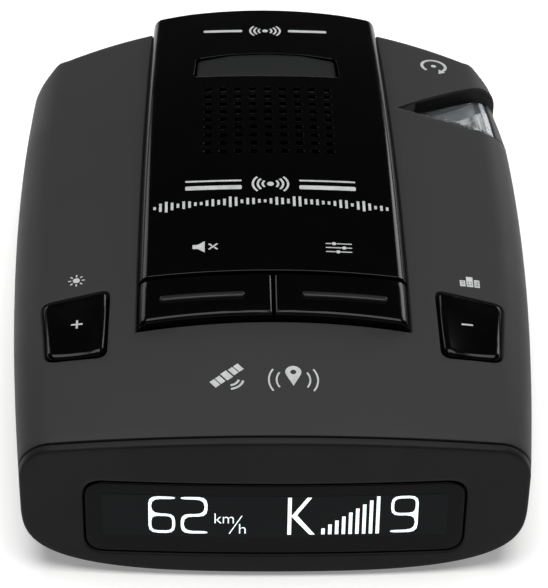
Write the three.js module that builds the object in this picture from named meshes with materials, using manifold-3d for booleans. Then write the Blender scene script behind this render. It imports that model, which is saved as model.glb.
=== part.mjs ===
// A windscreen radar detector: a two-part case with a display bezel, a raised centre panel, five keys,
// a corner lens and the electronics that it holds. Millimetres, +Z up, the display faces -Y.
// The origin is on the surface that the rubber feet stand on, under the middle of the case.
import * as THREE from "three";
import { mergeVertices } from "three/addons/utils/BufferGeometryUtils.js";
import Module from "manifold-3d";

const wasm = await Module();
wasm.setup();

// ---------------------------------------------------------------- driving dimensions
const HALF_WIDTH = 38.9; // at the widest station
const WIDEST_Y = 3;
const SIDE_BOW = 0.00089; // how fast the sides draw in, per mm
const FRONT_Y = -54.8; // foot of the display face
const FACE_LEAN = Math.tan((6 * Math.PI) / 180);
const FACE_BULGE = 0.00108;
const SEAM_Y = -51.1; // joint between bezel and case
const SEAM_BULGE = 0.00078;
const REAR_Y = 52.9;
const REAR_BOW = 0.0091;
const TOP_Z = 27.4; // crest of the case, without the centre panel
const CREST_Y = -14;
const CROWN = 3.0 / 36 ** 2;
const BASE_Z = 0.8; // underside of the case
const WAIST_Z = 13; // where the curved underside meets the side wall
const SPLIT_Z = 14.3; // parting line of upper and lower case
const SHOULDER = 4.5; // rounding along the sides of the top
const REAR_ROUND = 2.0;
const CORNER_ROUND = 3.0;
const WALL = 2.0;
const GAP = 0.3; // between pieces that meet
const PANEL_RAISE = 1.6; // centre panel above the case
const PANEL_UNDER = -1.2;
const PANEL_SEAT = -1.5; // floor that the panel lies on, below the case's surface
const FLOOR_UNDER = -3.0;
const PANEL_EDGE = 1.7; // rounding along the panel's long edges
const PANEL_REAR_Y = 54.4;
const PANEL_REAR_BOW = 0.0074;
const KEY_FRONT_Y = -29.6;
const KEY_REAR_Y = -20.8;
const KEY_TRAVEL = 0.5;
const RELEASE_TRAVEL = 1.2;
const LENS_SINK = 2.6; // lens top below the case's surface, at its rear edge
const BOARD_TOP_Z = 16.6;
const BOARD_THICK = 1.6;
const SWITCH_HEIGHT = 2.4;

// ---------------------------------------------------------------- materials
const finish = (color, roughness, metalness = 0) =>
  new THREE.MeshStandardMaterial({ color, roughness, metalness });
const SOFT_GREY = finish(0x3a3a3b, 0.62);
const CASE_BLACK = finish(0x222223, 0.6);
const PIANO_BLACK = finish(0x050606, 0.08);
const SMOKED = finish(0x0d0f0f, 0.05);
const CLEAR = finish(0xd8dcdf, 0.04);
const RED_TINT = finish(0x3a0608, 0.06);
const BOARD_GREEN = finish(0x0c4a2c, 0.5);
const CHIP_BLACK = finish(0x18181a, 0.5);
const ZINC = finish(0x9a9ca0, 0.4, 0.9);
const TIN = finish(0xb9bbbe, 0.3, 1);
const RUBBER = finish(0x141415, 0.85);
const CERAMIC = finish(0xb8a98a, 0.6);
const PAPER = finish(0xc9cbcc, 0.5);
const AMBER_FILM = finish(0xa8641c, 0.4);
const GAUZE = finish(0x0a0a0a, 0.95);

// ---------------------------------------------------------------- the case's surfaces
const halfWidth = (y) => HALF_WIDTH - SIDE_BOW * (y - WIDEST_Y) ** 2;
const rearLine = (x) => REAR_Y - REAR_BOW * x * x;
const seamLine = (x) => SEAM_Y + SEAM_BULGE * x * x;
const faceLine = (x, z) => FRONT_Y + FACE_BULGE * x * x + (z - 1) * FACE_LEAN;
const panelHalf = (y) => 20.1 - 0.00022 * (y + 25) ** 2;

// The crowned top, without its rounded shoulders.
function topHeight(x, y) {
  const fall = y < CREST_Y ? 0.00215 : 0.00135;
  return TOP_Z - fall * (y - CREST_Y) ** 2 - CROWN * x * x;
}

// How far a quarter-round of radius r has dropped at a distance d from its foot.
const roundDrop = (d, r) => (d < r ? r - Math.sqrt(r * r - (r - d) ** 2) : 0);

// The underside's height: flat in the middle and curling up to the waist, a superellipse.
function baseHeight(x, half) {
  const share = Math.min(1, Math.abs(x) / half);
  return WAIST_Z - (WAIST_Z - BASE_Z) * (1 - share ** 3.6) ** (1 / 3.6);
}

// ---------------------------------------------------------------- helpers
function solid(geometry) {
  const bare = geometry.clone();
  bare.deleteAttribute("normal");
  bare.deleteAttribute("uv");
  const merged = mergeVertices(bare, 1e-4);
  return new wasm.Manifold(
    new wasm.Mesh({
      numProp: 3,
      vertProperties: merged.attributes.position.array,
      triVerts: new Uint32Array(merged.index.array),
    }),
  );
}

function moveVertices(geometry, rule) {
  const place = geometry.attributes.position;
  for (let i = 0; i < place.count; i++) {
    place.setXYZ(i, ...rule(place.getX(i), place.getY(i), place.getZ(i)));
  }
  return geometry;
}

const detector = new THREE.Group();

function add(name, shape, material) {
  const made = shape.getMesh();
  const geometry = new THREE.BufferGeometry();
  geometry.setAttribute(
    "position",
    new THREE.BufferAttribute(made.vertProperties, 3),
  );
  geometry.setIndex(new THREE.BufferAttribute(made.triVerts, 1));
  geometry.computeVertexNormals();
  const mesh = new THREE.Mesh(geometry, material);
  mesh.name = name;
  detector.add(mesh);
}

// A box given by its two corners.
function block(x0, y0, z0, x1, y1, z1) {
  const box = new THREE.BoxGeometry(x1 - x0, y1 - y0, z1 - z0);
  box.translate((x0 + x1) / 2, (y0 + y1) / 2, (z0 + z1) / 2);
  return solid(box);
}

// An upright cylinder from z0 to z1.
function post(x, y, z0, z1, radius, sides = 20) {
  const drum = new THREE.CylinderGeometry(radius, radius, z1 - z0, sides);
  drum.rotateX(Math.PI / 2);
  drum.translate(x, y, (z0 + z1) / 2);
  return solid(drum);
}

// A cylinder lying along X.
function crossBar(x0, x1, y, z, radius, sides = 24) {
  const drum = new THREE.CylinderGeometry(radius, radius, x1 - x0, sides);
  drum.rotateZ(Math.PI / 2);
  drum.translate((x0 + x1) / 2, y, z);
  return solid(drum);
}

function roundedShape(corners, radius) {
  const shape = new THREE.Shape();
  const n = corners.length;
  corners.forEach(([x, y], i) => {
    const [px, py] = corners[(i + n - 1) % n];
    const [qx, qy] = corners[(i + 1) % n];
    const before = Math.min(0.45, radius / Math.hypot(px - x, py - y));
    const after = Math.min(0.45, radius / Math.hypot(qx - x, qy - y));
    const a = [x + (px - x) * before, y + (py - y) * before];
    const b = [x + (qx - x) * after, y + (qy - y) * after];
    if (i === 0) shape.moveTo(...a);
    else shape.lineTo(...a);
    shape.quadraticCurveTo(x, y, ...b);
  });
  shape.closePath();
  return shape;
}

const rectangle = (x0, y0, x1, y1, radius) =>
  roundedShape(
    [
      [x0, y0],
      [x1, y0],
      [x1, y1],
      [x0, y1],
    ],
    radius,
  );

// A shape drawn in X and Y, stood up from z0 to z1.
function prism(shape, z0, z1, curveSegments = 5) {
  const drawn = new THREE.ExtrudeGeometry(shape, {
    depth: z1 - z0,
    bevelEnabled: false,
    curveSegments,
  });
  drawn.translate(0, 0, z0);
  return solid(drawn);
}

// A shape drawn in X and Z, running from y0 back to y1.
function facePrism(shape, y0, y1, curveSegments = 5) {
  const drawn = new THREE.ExtrudeGeometry(shape, {
    depth: y1 - y0,
    bevelEnabled: false,
    curveSegments,
  });
  drawn.rotateX(Math.PI / 2);
  drawn.translate(0, y1, 0);
  return solid(drawn);
}

// A plan outline between two lines y = low(x) and y = high(x), as wide as half(y) allows.
function bandShape(low, high, half, steps = 8) {
  const points = [];
  for (const [line, turn] of [
    [low, 1],
    [high, -1],
  ]) {
    const reach = half(line(19));
    for (let i = 0; i <= steps; i++) {
      const x = turn * (-reach + (2 * reach * i) / steps);
      points.push(new THREE.Vector2(x, line(x)));
    }
    const from = line(reach);
    const to = turn > 0 ? high(half(high(19))) : low(half(low(19)));
    const rungs = Math.floor(Math.abs(to - from) / 18);
    for (let i = 1; i < rungs; i++) {
      const y = from + ((to - from) * i) / rungs;
      points.push(new THREE.Vector2(turn * half(y), y));
    }
  }
  return new THREE.Shape(points);
}

// A layer that follows the crowned top, from `low` to `high` above it.
function crownLayer(low, high, columns = 10, rows = 12) {
  const sheet = new THREE.BoxGeometry(84, 118, 1, columns, rows, 1);
  return solid(
    moveVertices(sheet, (x, y, side) => {
      const rise = side > 0 ? high : low;
      const above = typeof rise === "function" ? rise(x, y) : rise;
      return [x, y, topHeight(x, y) + above];
    }),
  );
}

// The raised strip along the middle of the top, `low` to `high` above the case, with rounded long edges.
const STATIONS = [-1, -0.985, -0.955, -0.915, -0.5, 0, 0.5, 0.915, 0.955, 0.985, 1];
function raisedStrip(low, high, inset = GAP, rows = 11) {
  const grid = new THREE.BoxGeometry(2, 116, 1, STATIONS.length - 1, rows, 1);
  return solid(
    moveVertices(grid, (u, y, side) => {
      const column = Math.round(((u + 1) / 2) * (STATIONS.length - 1));
      const half = panelHalf(y) - inset;
      const x = STATIONS[column] * half;
      const edge = roundDrop(half - Math.abs(x), PANEL_EDGE);
      return [x, y, topHeight(x, y) + (side > 0 ? high - edge : low)];
    }),
  );
}

// The whole case as one block, drawn in by the given amounts. A gridded box is moved onto its surfaces.
function caseBlock({ side = 0, top = 0, base = 0, front = 0, rear = 0, fine = true } = {}) {
  const cells = fine ? [16, 12, 4] : [10, 8, 2];
  const grid = new THREE.BoxGeometry(2, 2, 2, ...cells);
  return solid(
    moveVertices(grid, (u, v, w) => {
      const across = Math.sign(u) * (1 - (1 - Math.abs(u)) ** 2.2);
      const along = 1 - (1 - (v + 1) / 2) ** 1.6;
      const nominalX = across * HALF_WIDTH;
      const nominalY = THREE.MathUtils.lerp(FRONT_Y, rearLine(nominalX), along);
      const fromRear = rearLine(nominalX) - nominalY;
      const half =
        halfWidth(nominalY) - side - roundDrop(fromRear, CORNER_ROUND) * 0.9;
      const x = across * half;
      const shoulder = roundDrop(half - Math.abs(x), SHOULDER - side);
      const brow = roundDrop(fromRear, REAR_ROUND);
      const roof = topHeight(x, nominalY) - top - Math.max(shoulder, brow);
      const floor = Math.min(baseHeight(x, half) + base, roof - 1);
      const z = THREE.MathUtils.lerp(floor, roof, (w + 1) / 2);
      const y = THREE.MathUtils.lerp(
        faceLine(x, z) + front,
        rearLine(x) - rear,
        along,
      );
      return [x, y, z];
    }),
  );
}

const farBelow = -5;
const farAbove = 40;

// Everything behind (or, with turn -1, in front of) the bezel's seam, moved back by `shift`.
function beyondSeam(turn, shift) {
  const points = [];
  for (let x = -48; x <= 48; x += 8) {
    points.push(new THREE.Vector2(x, seamLine(x) + shift));
  }
  points.push(new THREE.Vector2(48, turn * 70), new THREE.Vector2(-48, turn * 70));
  return prism(new THREE.Shape(points), farBelow, farAbove);
}

// ---------------------------------------------------------------- outlines of the keys, lens and panel
const dimCorners = [
  [-34.2, -23.3],
  [-23.9, -21.4],
  [-24.1, -35.3],
  [-33.1, -35.3],
];
const keyFront = (x) => KEY_FRONT_Y - 0.003 * x * x;
const keyRear = (x) => KEY_REAR_Y - 0.0018 * x * x;
const panelRear = (x) => PANEL_REAR_Y - PANEL_REAR_BOW * x * x;
const lensCorners = [
  [20.9, 25.3],
  [33.8, 20.2],
  [41, 19.8],
  [41, 39.4],
  [33.9, 34.4],
  [26.5, 30.0],
];
const releaseCorners = [
  [-11.8, 31.1],
  [11.8, 31.1],
  [11.4, 37.0],
  [6, 38.2],
  [0, 38.6],
  [-6, 38.2],
  [-11.4, 37.0],
];
const mirrorX = (corners) => corners.map(([x, y]) => [-x, y]).reverse();

// The same outline, drawn in (or, if negative, out) by `inset`, towards its middle.
function insetCorners(corners, inset) {
  const cx = corners.reduce((sum, c) => sum + c[0], 0) / corners.length;
  const cy = corners.reduce((sum, c) => sum + c[1], 0) / corners.length;
  const reachX = Math.max(...corners.map((c) => Math.abs(c[0] - cx)));
  const reachY = Math.max(...corners.map((c) => Math.abs(c[1] - cy)));
  return corners.map(([x, y]) => [
    cx + (x - cx) * (1 - inset / reachX),
    cy + (y - cy) * (1 - inset / reachY),
  ]);
}

const screwPlaces = [
  [-29.5, -43],
  [29.5, -43],
  [-27.5, 40],
  [27.5, 40],
];
const footPlaces = [
  [-20, -36],
  [20, -36],
  [-20, 34],
  [20, 34],
];
const dimSwitch = [-28.9, -28.6];
const citySwitch = [28.9, -28.6];
const muteSwitch = [-10.5, -25.4];
const progSwitch = [10.5, -25.4];

// ---------------------------------------------------------------- case, bezel and display
const shell = caseBlock();
const hollow = caseBlock({
  side: WALL,
  top: WALL,
  base: WALL,
  front: WALL,
  rear: WALL,
  fine: false,
});
const upperHalf = block(-50, -70, SPLIT_Z + GAP / 2, 50, 70, farAbove);
const lowerHalf = block(-50, -70, farBelow, 50, 70, SPLIT_Z - GAP / 2);
const panelBed = (grow) =>
  bandShape(
    (x) => keyFront(x) - grow,
    () => 60,
    (y) => panelHalf(y) + grow,
  );

function upperCase() {
  const bed = prism(panelBed(0), farBelow, farAbove);
  const floor = crownLayer(FLOOR_UNDER, PANEL_SEAT).intersect(
    prism(panelBed(1.5), 14.6, farAbove),
  );
  const bosses = screwPlaces.map(([x, y]) => post(x, y, SPLIT_Z + 1, 30, 2.9, 12));
  const lensRim = prism(
    roundedShape(insetCorners(lensCorners, -1.6), 1),
    SPLIT_Z + GAP / 2,
    farAbove,
  );
  let made = shell.subtract(hollow).intersect(upperHalf);
  made = made.subtract(crownLayer(PANEL_SEAT, 8).intersect(bed));
  for (const extra of [floor, lensRim, ...bosses]) {
    made = made.add(extra.intersect(shell).subtract(crownLayer(-0.9, 9)));
  }
  made = made.subtract(crownLayer(PANEL_SEAT, 8).intersect(bed));
  made = made.intersect(beyondSeam(1, GAP / 2)).intersect(upperHalf);
  const keyWell = bandShape(
    (x) => keyFront(x) + 0.1,
    (x) => keyRear(x) - 0.3,
    (y) => panelHalf(y),
  );
  const cuts = [
    prism(roundedShape(dimCorners, 1.6), SPLIT_Z, farAbove),
    prism(roundedShape(mirrorX(dimCorners), 1.6), SPLIT_Z, farAbove),
    prism(roundedShape(lensCorners, 0.8), farBelow, farAbove),
    prism(keyWell, farBelow, farAbove),
    prism(rectangle(-11, 7, 11, 28.5, 1), farBelow, farAbove),
    prism(roundedShape(releaseCorners, 0.7), farBelow, farAbove),
    ...screwPlaces.map(([x, y]) => post(x, y, farBelow, 18.4, 1.5, 10)),
    block(-13.1, 46, 15.2, 13.1, 60, 17.6),
  ];
  for (const cut of cuts) made = made.subtract(cut);
  return made;
}
add("upper_case", upperCase(), SOFT_GREY);

function lowerCase() {
  let made = shell.subtract(hollow).intersect(lowerHalf).intersect(beyondSeam(1, GAP / 2));
  const within = caseBlock({ side: 0.5, base: 0.3, front: 0.5, rear: 0.5, top: 0.5 });
  const solids = [
    ...screwPlaces.map(([x, y]) => post(x, y, 1.2, SPLIT_Z - GAP / 2, 3.6, 14)),
    ...footPlaces.map(([x, y]) => post(x, y, 1.2, 3.9, 6.2, 16)),
    block(-22, -16, 1.4, 22, 14, 3.4),
  ];
  for (const extra of solids) {
    made = made.add(extra.intersect(within).intersect(lowerHalf));
  }
  const cuts = [
    ...screwPlaces.flatMap(([x, y]) => [
      post(x, y, farBelow, 5.4, 2.9, 16),
      post(x, y, farBelow, 20, 1.5, 10),
    ]),
    ...footPlaces.map(([x, y]) => post(x, y, farBelow, 2.1, 5.1, 24)),
    prism(rectangle(-20.3, -12.3, 20.3, 10.3, 1), farBelow, 1.9),
    crossBar(-45, -20, 6, 9.2, 3.6),
    block(-45, -7.7, 6.6, -20, 0.7, 10.8),
    facePrism(rectangle(-26.4, 5.4, -13.4, 11.6, 1.4), 30, 60),
  ];
  for (const cut of cuts) made = made.subtract(cut);
  return made;
}
add("lower_case", lowerCase(), CASE_BLACK);

const windowShape = (grow) =>
  rectangle(-27.3 - grow, 4.1 - grow, 27.3 + grow, 17.0 + grow, 2.8 + grow);

function frontBezel() {
  let made = shell.subtract(hollow).intersect(beyondSeam(-1, -GAP / 2));
  return made.subtract(facePrism(windowShape(0), -70, -45, 8));
}
add("front_bezel", frontBezel(), CASE_BLACK);

const behindFace = (near, far) =>
  caseBlock({ side: 1, top: 1, base: 1, front: near, rear: 8 }).subtract(
    caseBlock({ front: far }),
  );
add(
  "display_window",
  facePrism(windowShape(-GAP), -60, -45, 8).intersect(behindFace(0.35, 1.9)),
  SMOKED,
);
add(
  "display_frame",
  facePrism(
    roundedShape(
      [
        [-24.5, 4.9],
        [24.5, 4.9],
        [30.0, 8.0],
        [30.0, 18.4],
        [-30.0, 18.4],
        [-30.0, 8.0],
      ],
      1,
    ),
    -50.0,
    -47.2,
    3,
  ).subtract(block(-25.6, -60, 6.4, 25.6, -48.4, 15.8)),
  CHIP_BLACK,
);
add("oled_panel", block(-25.3, -50.1, 6.7, 25.3, -48.7, 15.5), CHIP_BLACK);
add(
  "display_flex",
  block(-9, -46.9, 8.5, 9, -46.6, 14.6),
  AMBER_FILM,
);

// ---------------------------------------------------------------- centre panel, its keys and the sound outlet
function centrePanel() {
  const outline = bandShape(
    (x) => keyRear(x) + GAP,
    panelRear,
    () => 24,
    10,
  );
  let made = prism(outline, farBelow, farAbove).intersect(raisedStrip(PANEL_UNDER, PANEL_RAISE));
  made = made.subtract(
    prism(roundedShape(releaseCorners, 0.7), farBelow, farAbove),
  );
  for (let column = 0; column < 9; column++) {
    for (let row = 0; row < 9; row++) {
      const x = -9.5 + column * 2.375;
      const y = 8.8 + row * 2.25;
      made = made.subtract(post(x, y, 20, 32, 0.72, 6));
    }
  }
  return made;
}
add("centre_panel", centrePanel(), PIANO_BLACK);
add(
  "grille_gauze",
  crownLayer(-1.95, -1.6, 4, 6).intersect(
    prism(rectangle(-10.6, 7.4, 10.6, 28.1, 1), farBelow, farAbove),
  ),
  GAUZE,
);

const switchTop = BOARD_TOP_Z + SWITCH_HEIGHT;
const stemFoot = switchTop + 1.2;

// A flange that holds a key in from below, and a stem down to its plunger.
function underKey(outline, top, [x, y]) {
  const flange = prism(outline, farBelow, farAbove).intersect(
    crownLayer(top - 0.9, top),
  );
  const stem = post(x, y, stemFoot, 24, 1.9, 12).subtract(crownLayer(top - 0.3, 9));
  return flange.add(stem);
}

// The plunger that a key pushes into its switch, and the switch itself.
function switchSet(name, [x, y]) {
  add(`${name}_plunger`, post(x, y, switchTop - 0.5, stemFoot - 0.05, 1.6, 12), RUBBER);
  const housing = block(x - 3, y - 3, BOARD_TOP_Z + 0.1, x + 3, y + 3, switchTop);
  add(`${name}_switch`, housing.subtract(post(x, y, switchTop - 1.3, 30, 1.8, 12)), CHIP_BLACK);
}

// The shallow finger dish in a side button.
function fingerDish(x, y) {
  const ball = new THREE.SphereGeometry(22, 32, 18);
  ball.scale(1, 1.5, 1);
  ball.translate(x, y, topHeight(x, y) + 21.7);
  return solid(ball);
}

function sideButton(name, corners, place) {
  const outline = roundedShape(insetCorners(corners, GAP), 1.4);
  const rise = crownLayer(-3.1, 0.45).subtract(fingerDish(...place));
  const body = prism(outline, farBelow, farAbove).intersect(rise);
  const hold = underKey(roundedShape(insetCorners(corners, -0.5), 1.4), -2.9, place);
  add(`${name}_button`, body.add(hold), PIANO_BLACK);
  switchSet(name, place);
}
sideButton("dim", dimCorners, dimSwitch);
sideButton("city", mirrorX(dimCorners), citySwitch);

function centreKey(name, turn, place) {
  const outline = bandShape(
    (x) => keyFront(x) + GAP,
    keyRear,
    () => 24,
  );
  const held = bandShape(
    (x) => keyFront(x) - 0.8,
    () => -22.0,
    () => 19.4,
  );
  const side = turn < 0 ? block(-30, -40, 0, -0.15, 0, 40) : block(0.15, -40, 0, 30, 0, 40);
  const rear = block(-30, -22.0, 0, 30, 0, 40).intersect(
    crownLayer(-9, PANEL_SEAT + KEY_TRAVEL + 0.2),
  );
  const body = prism(outline, farBelow, farAbove).intersect(
    raisedStrip(-3.6, PANEL_RAISE - 0.15).subtract(rear),
  );
  const rib = prism(
    rectangle(turn * 10.4 - 6.1, -26.3, turn * 10.4 + 6.1, -25.2, 0.5),
    farBelow,
    farAbove,
  ).intersect(crownLayer(1, PANEL_RAISE + 0.2));
  const hold = underKey(held, FLOOR_UNDER - 0.3, place);
  add(`${name}_key`, body.add(hold).intersect(side).add(rib), PIANO_BLACK);
  switchSet(name, place);
}
centreKey("mute", -1, muteSwitch);
centreKey("prog", 1, progSwitch);

// ---------------------------------------------------------------- release key and windscreen-bracket socket
const SOCKET_TOP = 18.0;
const springPlaces = [
  [-8, 34.2],
  [8, 34.2],
];

function releaseKey() {
  const ramp = (x, y) =>
    PANEL_RAISE - 0.15 - 1.75 * Math.min(1, Math.max(0, (38 - y) / 6.8));
  const body = prism(
    roundedShape(insetCorners(releaseCorners, GAP), 0.6),
    farBelow,
    farAbove,
  ).intersect(crownLayer(-3.5, ramp, 10, 59));
  const flange = prism(
    roundedShape(insetCorners(releaseCorners, -0.5), 0.6),
    farBelow,
    farAbove,
  ).intersect(crownLayer(FLOOR_UNDER - 1.1, FLOOR_UNDER - 0.3));
  let made = body.add(flange);
  for (const [x, y] of springPlaces) made = made.subtract(post(x, y, 10, 22.6, 1.7, 14));
  return made;
}
add("release_key", releaseKey(), PIANO_BLACK);

// A stirrup round the bracket's tongue: pressing the key draws its tooth down out of the tongue.
function releaseLatch() {
  return block(-5.4, 32.4, 14.0, 5.4, 35.4, 19.3)
    .subtract(block(-4.2, 30, 15.0, 4.2, 40, 30))
    .add(block(-2.5, 32.4, 14.5, 2.5, 34.6, 16.6));
}
add("release_latch", releaseLatch(), TIN);

function bracketSocket() {
  return block(-15, 29, 14.75, 15, 46.5, SOCKET_TOP)
    .subtract(block(-12.8, 30.4, 15.5, 12.8, 60, 17.3))
    .subtract(block(-5.8, 32.0, 10, 5.8, 35.8, 30));
}
add("bracket_socket", bracketSocket(), CASE_BLACK);

function coilSpring([x, y]) {
  const turns = 4;
  class Helix extends THREE.Curve {
    getPoint(t, target = new THREE.Vector3()) {
      const angle = t * turns * 2 * Math.PI;
      const rise = SOCKET_TOP + 0.3 + t * 3.9;
      return target.set(x + 1.2 * Math.cos(angle), y + 1.2 * Math.sin(angle), rise);
    }
  }
  const wire = new THREE.Shape();
  wire.absarc(0, 0, 0.17, 0, 2 * Math.PI);
  const steps = turns * 10;
  return solid(
    new THREE.ExtrudeGeometry(wire, { steps, curveSegments: 5, extrudePath: new Helix() }),
  );
}
springPlaces.forEach((place, i) => {
  add(`release_spring_${i + 1}`, coilSpring(place), TIN);
});

// ---------------------------------------------------------------- lenses and light sensors
const sensorPocket = [
  [26.6, 24.8],
  [33.2, 22.4],
  [34.4, 22.6],
  [34.4, 31.8],
  [32.6, 31.2],
];

// The lens fills the corner. Its top leaves the case's surface at the front and sinks towards the rear.
function sideLens() {
  const ramp = (x, y) => {
    const front = 25.4 - 0.33 * (x - 20.9);
    const depth = 13.4 * Math.min(1, Math.max(0.25, (x - 20.9) / 13));
    return -0.25 - LENS_SINK * Math.min(1, Math.max(0, (y - front) / depth));
  };
  return prism(roundedShape(insetCorners(lensCorners, GAP), 0.6), 14.6, farAbove)
    .intersect(caseBlock({ side: 0.1 }))
    .intersect(crownLayer(-20, ramp, 42, 59))
    .subtract(prism(roundedShape(sensorPocket, 0.5), farBelow, 17.6));
}
add("side_lens", sideLens(), CLEAR);
add(
  "lens_reflector",
  prism(roundedShape(insetCorners(sensorPocket, 0.5), 0.4), 14.6, 15.3),
  TIN,
);
add("side_laser_sensor", block(31.0, 24.2, 15.4, 33.4, 27.4, 17.0), CHIP_BLACK);
add(
  "rear_laser_lens",
  facePrism(rectangle(-26.1, 5.7, -13.7, 11.3, 1.2), 30, 60).intersect(
    caseBlock({ rear: 0.3 }).subtract(caseBlock({ rear: 2.6 })),
  ),
  RED_TINT,
);
add("rear_laser_sensor", block(-22.4, 38.0, 6.6, -17.6, 40.4, 10.4), CHIP_BLACK);

// ---------------------------------------------------------------- electronics
function mainBoard() {
  const outline = roundedShape(
    [
      [-34.4, -45.6],
      [34.4, -45.6],
      [35.2, 18.4],
      [23, 18.4],
      [17, 27.6],
      [-34.6, 27.6],
    ],
    1.5,
  );
  let made = prism(outline, BOARD_TOP_Z - BOARD_THICK, BOARD_TOP_Z, 2);
  for (const [x, y] of screwPlaces) made = made.subtract(post(x, y, 0, 30, 4.0, 14));
  return made;
}
add("main_board", mainBoard(), BOARD_GREEN);
add("rf_shield", block(-14, -2, 9.4, 14, 19, 14.8), TIN);
add("processor_chip", block(-6, -42, BOARD_TOP_Z + 0.1, 6, -33, BOARD_TOP_Z + 1.6), CHIP_BLACK);

// The receiver's horn: a flared duct, open to the rear wall.
function hornAntenna() {
  const flare = (thin) =>
    new THREE.Shape([
      new THREE.Vector2(-6 + thin, 21),
      new THREE.Vector2(6 - thin, 21),
      new THREE.Vector2(14 - thin, 46),
      new THREE.Vector2(-14 + thin, 46),
    ]);
  const inside = prism(flare(1.4), 5.6, 11.0).intersect(block(-30, 24, 0, 30, 60, 30));
  return prism(flare(0), 4.2, 12.4).subtract(inside.add(block(-12.5, 45, 5.6, 12.5, 60, 11.0)));
}
add("horn_antenna", hornAntenna(), ZINC);
add("gps_antenna", block(-33.2, -16, BOARD_TOP_Z + 0.1, -18.2, -1, BOARD_TOP_Z + 4.1), CERAMIC);

const speakerPlace = [0, 17.6];
add(
  "speaker",
  post(...speakerPlace, 17.4, 20.6, 9.5, 28).subtract(post(...speakerPlace, 19.8, 30, 7.6, 20)),
  CHIP_BLACK,
);
add(
  "speaker_gasket",
  post(...speakerPlace, 20.8, 22.4, 9.4, 24).subtract(post(...speakerPlace, 0, 30, 7.8, 20)),
  RUBBER,
);
add("backup_cell", crossBar(16, 28, 6, BOARD_TOP_Z + 2.9, 2.7, 18), CHIP_BLACK);

const wallX = -37.4;
add(
  "power_jack",
  crossBar(wallX, -26, 6, 9.2, 3.3).subtract(crossBar(-60, -30, 6, 9.2, 1.95)),
  CHIP_BLACK,
);
add(
  "usb_port",
  block(wallX, -7.4, 6.9, -29, 0.4, 10.5).subtract(block(-60, -6.9, 7.5, -31, -0.1, 9.9)),
  TIN,
);

// ---------------------------------------------------------------- underside
screwPlaces.forEach(([x, y], i) => {
  const head = post(x, y, 3.1, 5.1, 2.4, 16);
  const cross = block(x - 1.5, y - 0.35, 2, x + 1.5, y + 0.35, 4.0).add(
    block(x - 0.35, y - 1.5, 2, x + 0.35, y + 1.5, 4.0),
  );
  const shank = post(x, y, 5.0, 17.8, 1.2, 10);
  add(`case_screw_${i + 1}`, head.subtract(cross).add(shank), TIN);
});
footPlaces.forEach(([x, y], i) => {
  add(`rubber_foot_${i + 1}`, post(x, y, 0, 1.9, 4.8, 24), RUBBER);
});
add("rating_label", prism(rectangle(-19.8, -11.8, 19.8, 9.8, 0.8), 1.35, 1.7), PAPER);

export default detector;
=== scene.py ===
"""Looks of a windscreen radar detector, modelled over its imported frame.

Sizes are in millimetres until a piece is finished, when its mesh is brought to metres.
X runs to the right of the display, Y from the display to the rear and Z up.
"""

import math

import bmesh
import bpy
from mathutils import Matrix, Vector


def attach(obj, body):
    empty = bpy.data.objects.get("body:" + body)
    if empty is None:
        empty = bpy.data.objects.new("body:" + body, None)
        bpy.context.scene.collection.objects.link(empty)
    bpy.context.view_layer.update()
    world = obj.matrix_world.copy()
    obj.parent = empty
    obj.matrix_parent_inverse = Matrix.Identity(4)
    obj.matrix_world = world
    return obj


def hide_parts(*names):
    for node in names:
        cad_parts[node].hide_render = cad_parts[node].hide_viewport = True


bl_info = {
    "name": "Radar detector",
    "version": (1, 0, 0),
    "blender": (4, 5, 0),
    "location": "View3D > Sidebar > Detector",
    "description": "Models the visible pieces of a windscreen radar detector",
    "category": "Add Mesh",
}

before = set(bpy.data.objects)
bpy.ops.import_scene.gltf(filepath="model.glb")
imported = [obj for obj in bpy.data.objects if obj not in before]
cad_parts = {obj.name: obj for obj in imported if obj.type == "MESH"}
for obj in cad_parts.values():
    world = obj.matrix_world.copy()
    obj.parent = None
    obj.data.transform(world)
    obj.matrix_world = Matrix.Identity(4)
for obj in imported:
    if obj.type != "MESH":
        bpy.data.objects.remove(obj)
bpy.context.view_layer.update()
MM = 0.001

# ------------------------------------------------------------------ sizes of the case
HALF_WIDTH = 38.885
WIDEST_Y = 3.0
SIDE_BOW = 0.00089
FRONT_Y = -54.8
FACE_LEAN = math.tan(math.radians(6))
FACE_BULGE = 0.00108
SEAM_Y = -51.1
SEAM_BULGE = 0.00078
REAR_Y = 52.9
REAR_BOW = 0.0091
TOP_Z = 27.4
FALL_TO_FRONT = 0.00215
FALL_TO_REAR = 0.00135
CREST_Y = -14.0
CROWN = 3.0 / 36**2
BASE_Z = 0.8
WAIST_Z = 13.0
SPLIT_Z = 14.3
BASE_POWER = 3.6
SHOULDER = 4.5
REAR_ROUND = 1.0
CORNER_ROUND = 4.0
PANEL_HALF = 20.1
PANEL_BOW = 0.00022
PANEL_RAISE = 1.59
PANEL_EDGE = 1.7
PANEL_DEPTH = 2.8
KEY_RAISE = PANEL_RAISE - 0.12
KEY_DEPTH = 4.2
PANEL_REAR_Y = 54.4
PANEL_REAR_BOW = 0.0074
KEY_FRONT_Y = -29.6
KEY_FRONT_BOW = 0.003
KEY_REAR_Y = -20.8
KEY_REAR_BOW = 0.0018
GAP = 0.3
STRIP = 20.0  # half the width that the panel and keys are drawn at before they are fitted
STRAIGHT = 12.6  # nothing inside this half-width is moved when they are fitted
LENS_SINK = 2.6
SEAM_END = 36.3  # past here to each side, the front seam runs straight down
SKIRT_U = 48.0  # the cover's plate is drawn this far to the sides and rear, then cut at the split
SKIRT_V = 64.0
COVER_WALL = 1.7
INK_DEPTH = 0.05
SHELL_WALL = 1.8
CREASE = 32  # degrees past which an edge is shaded sharp


# ------------------------------------------------------------------ surfaces
def clamp(value, low=0.0, high=1.0):
    return min(high, max(low, value))


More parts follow.
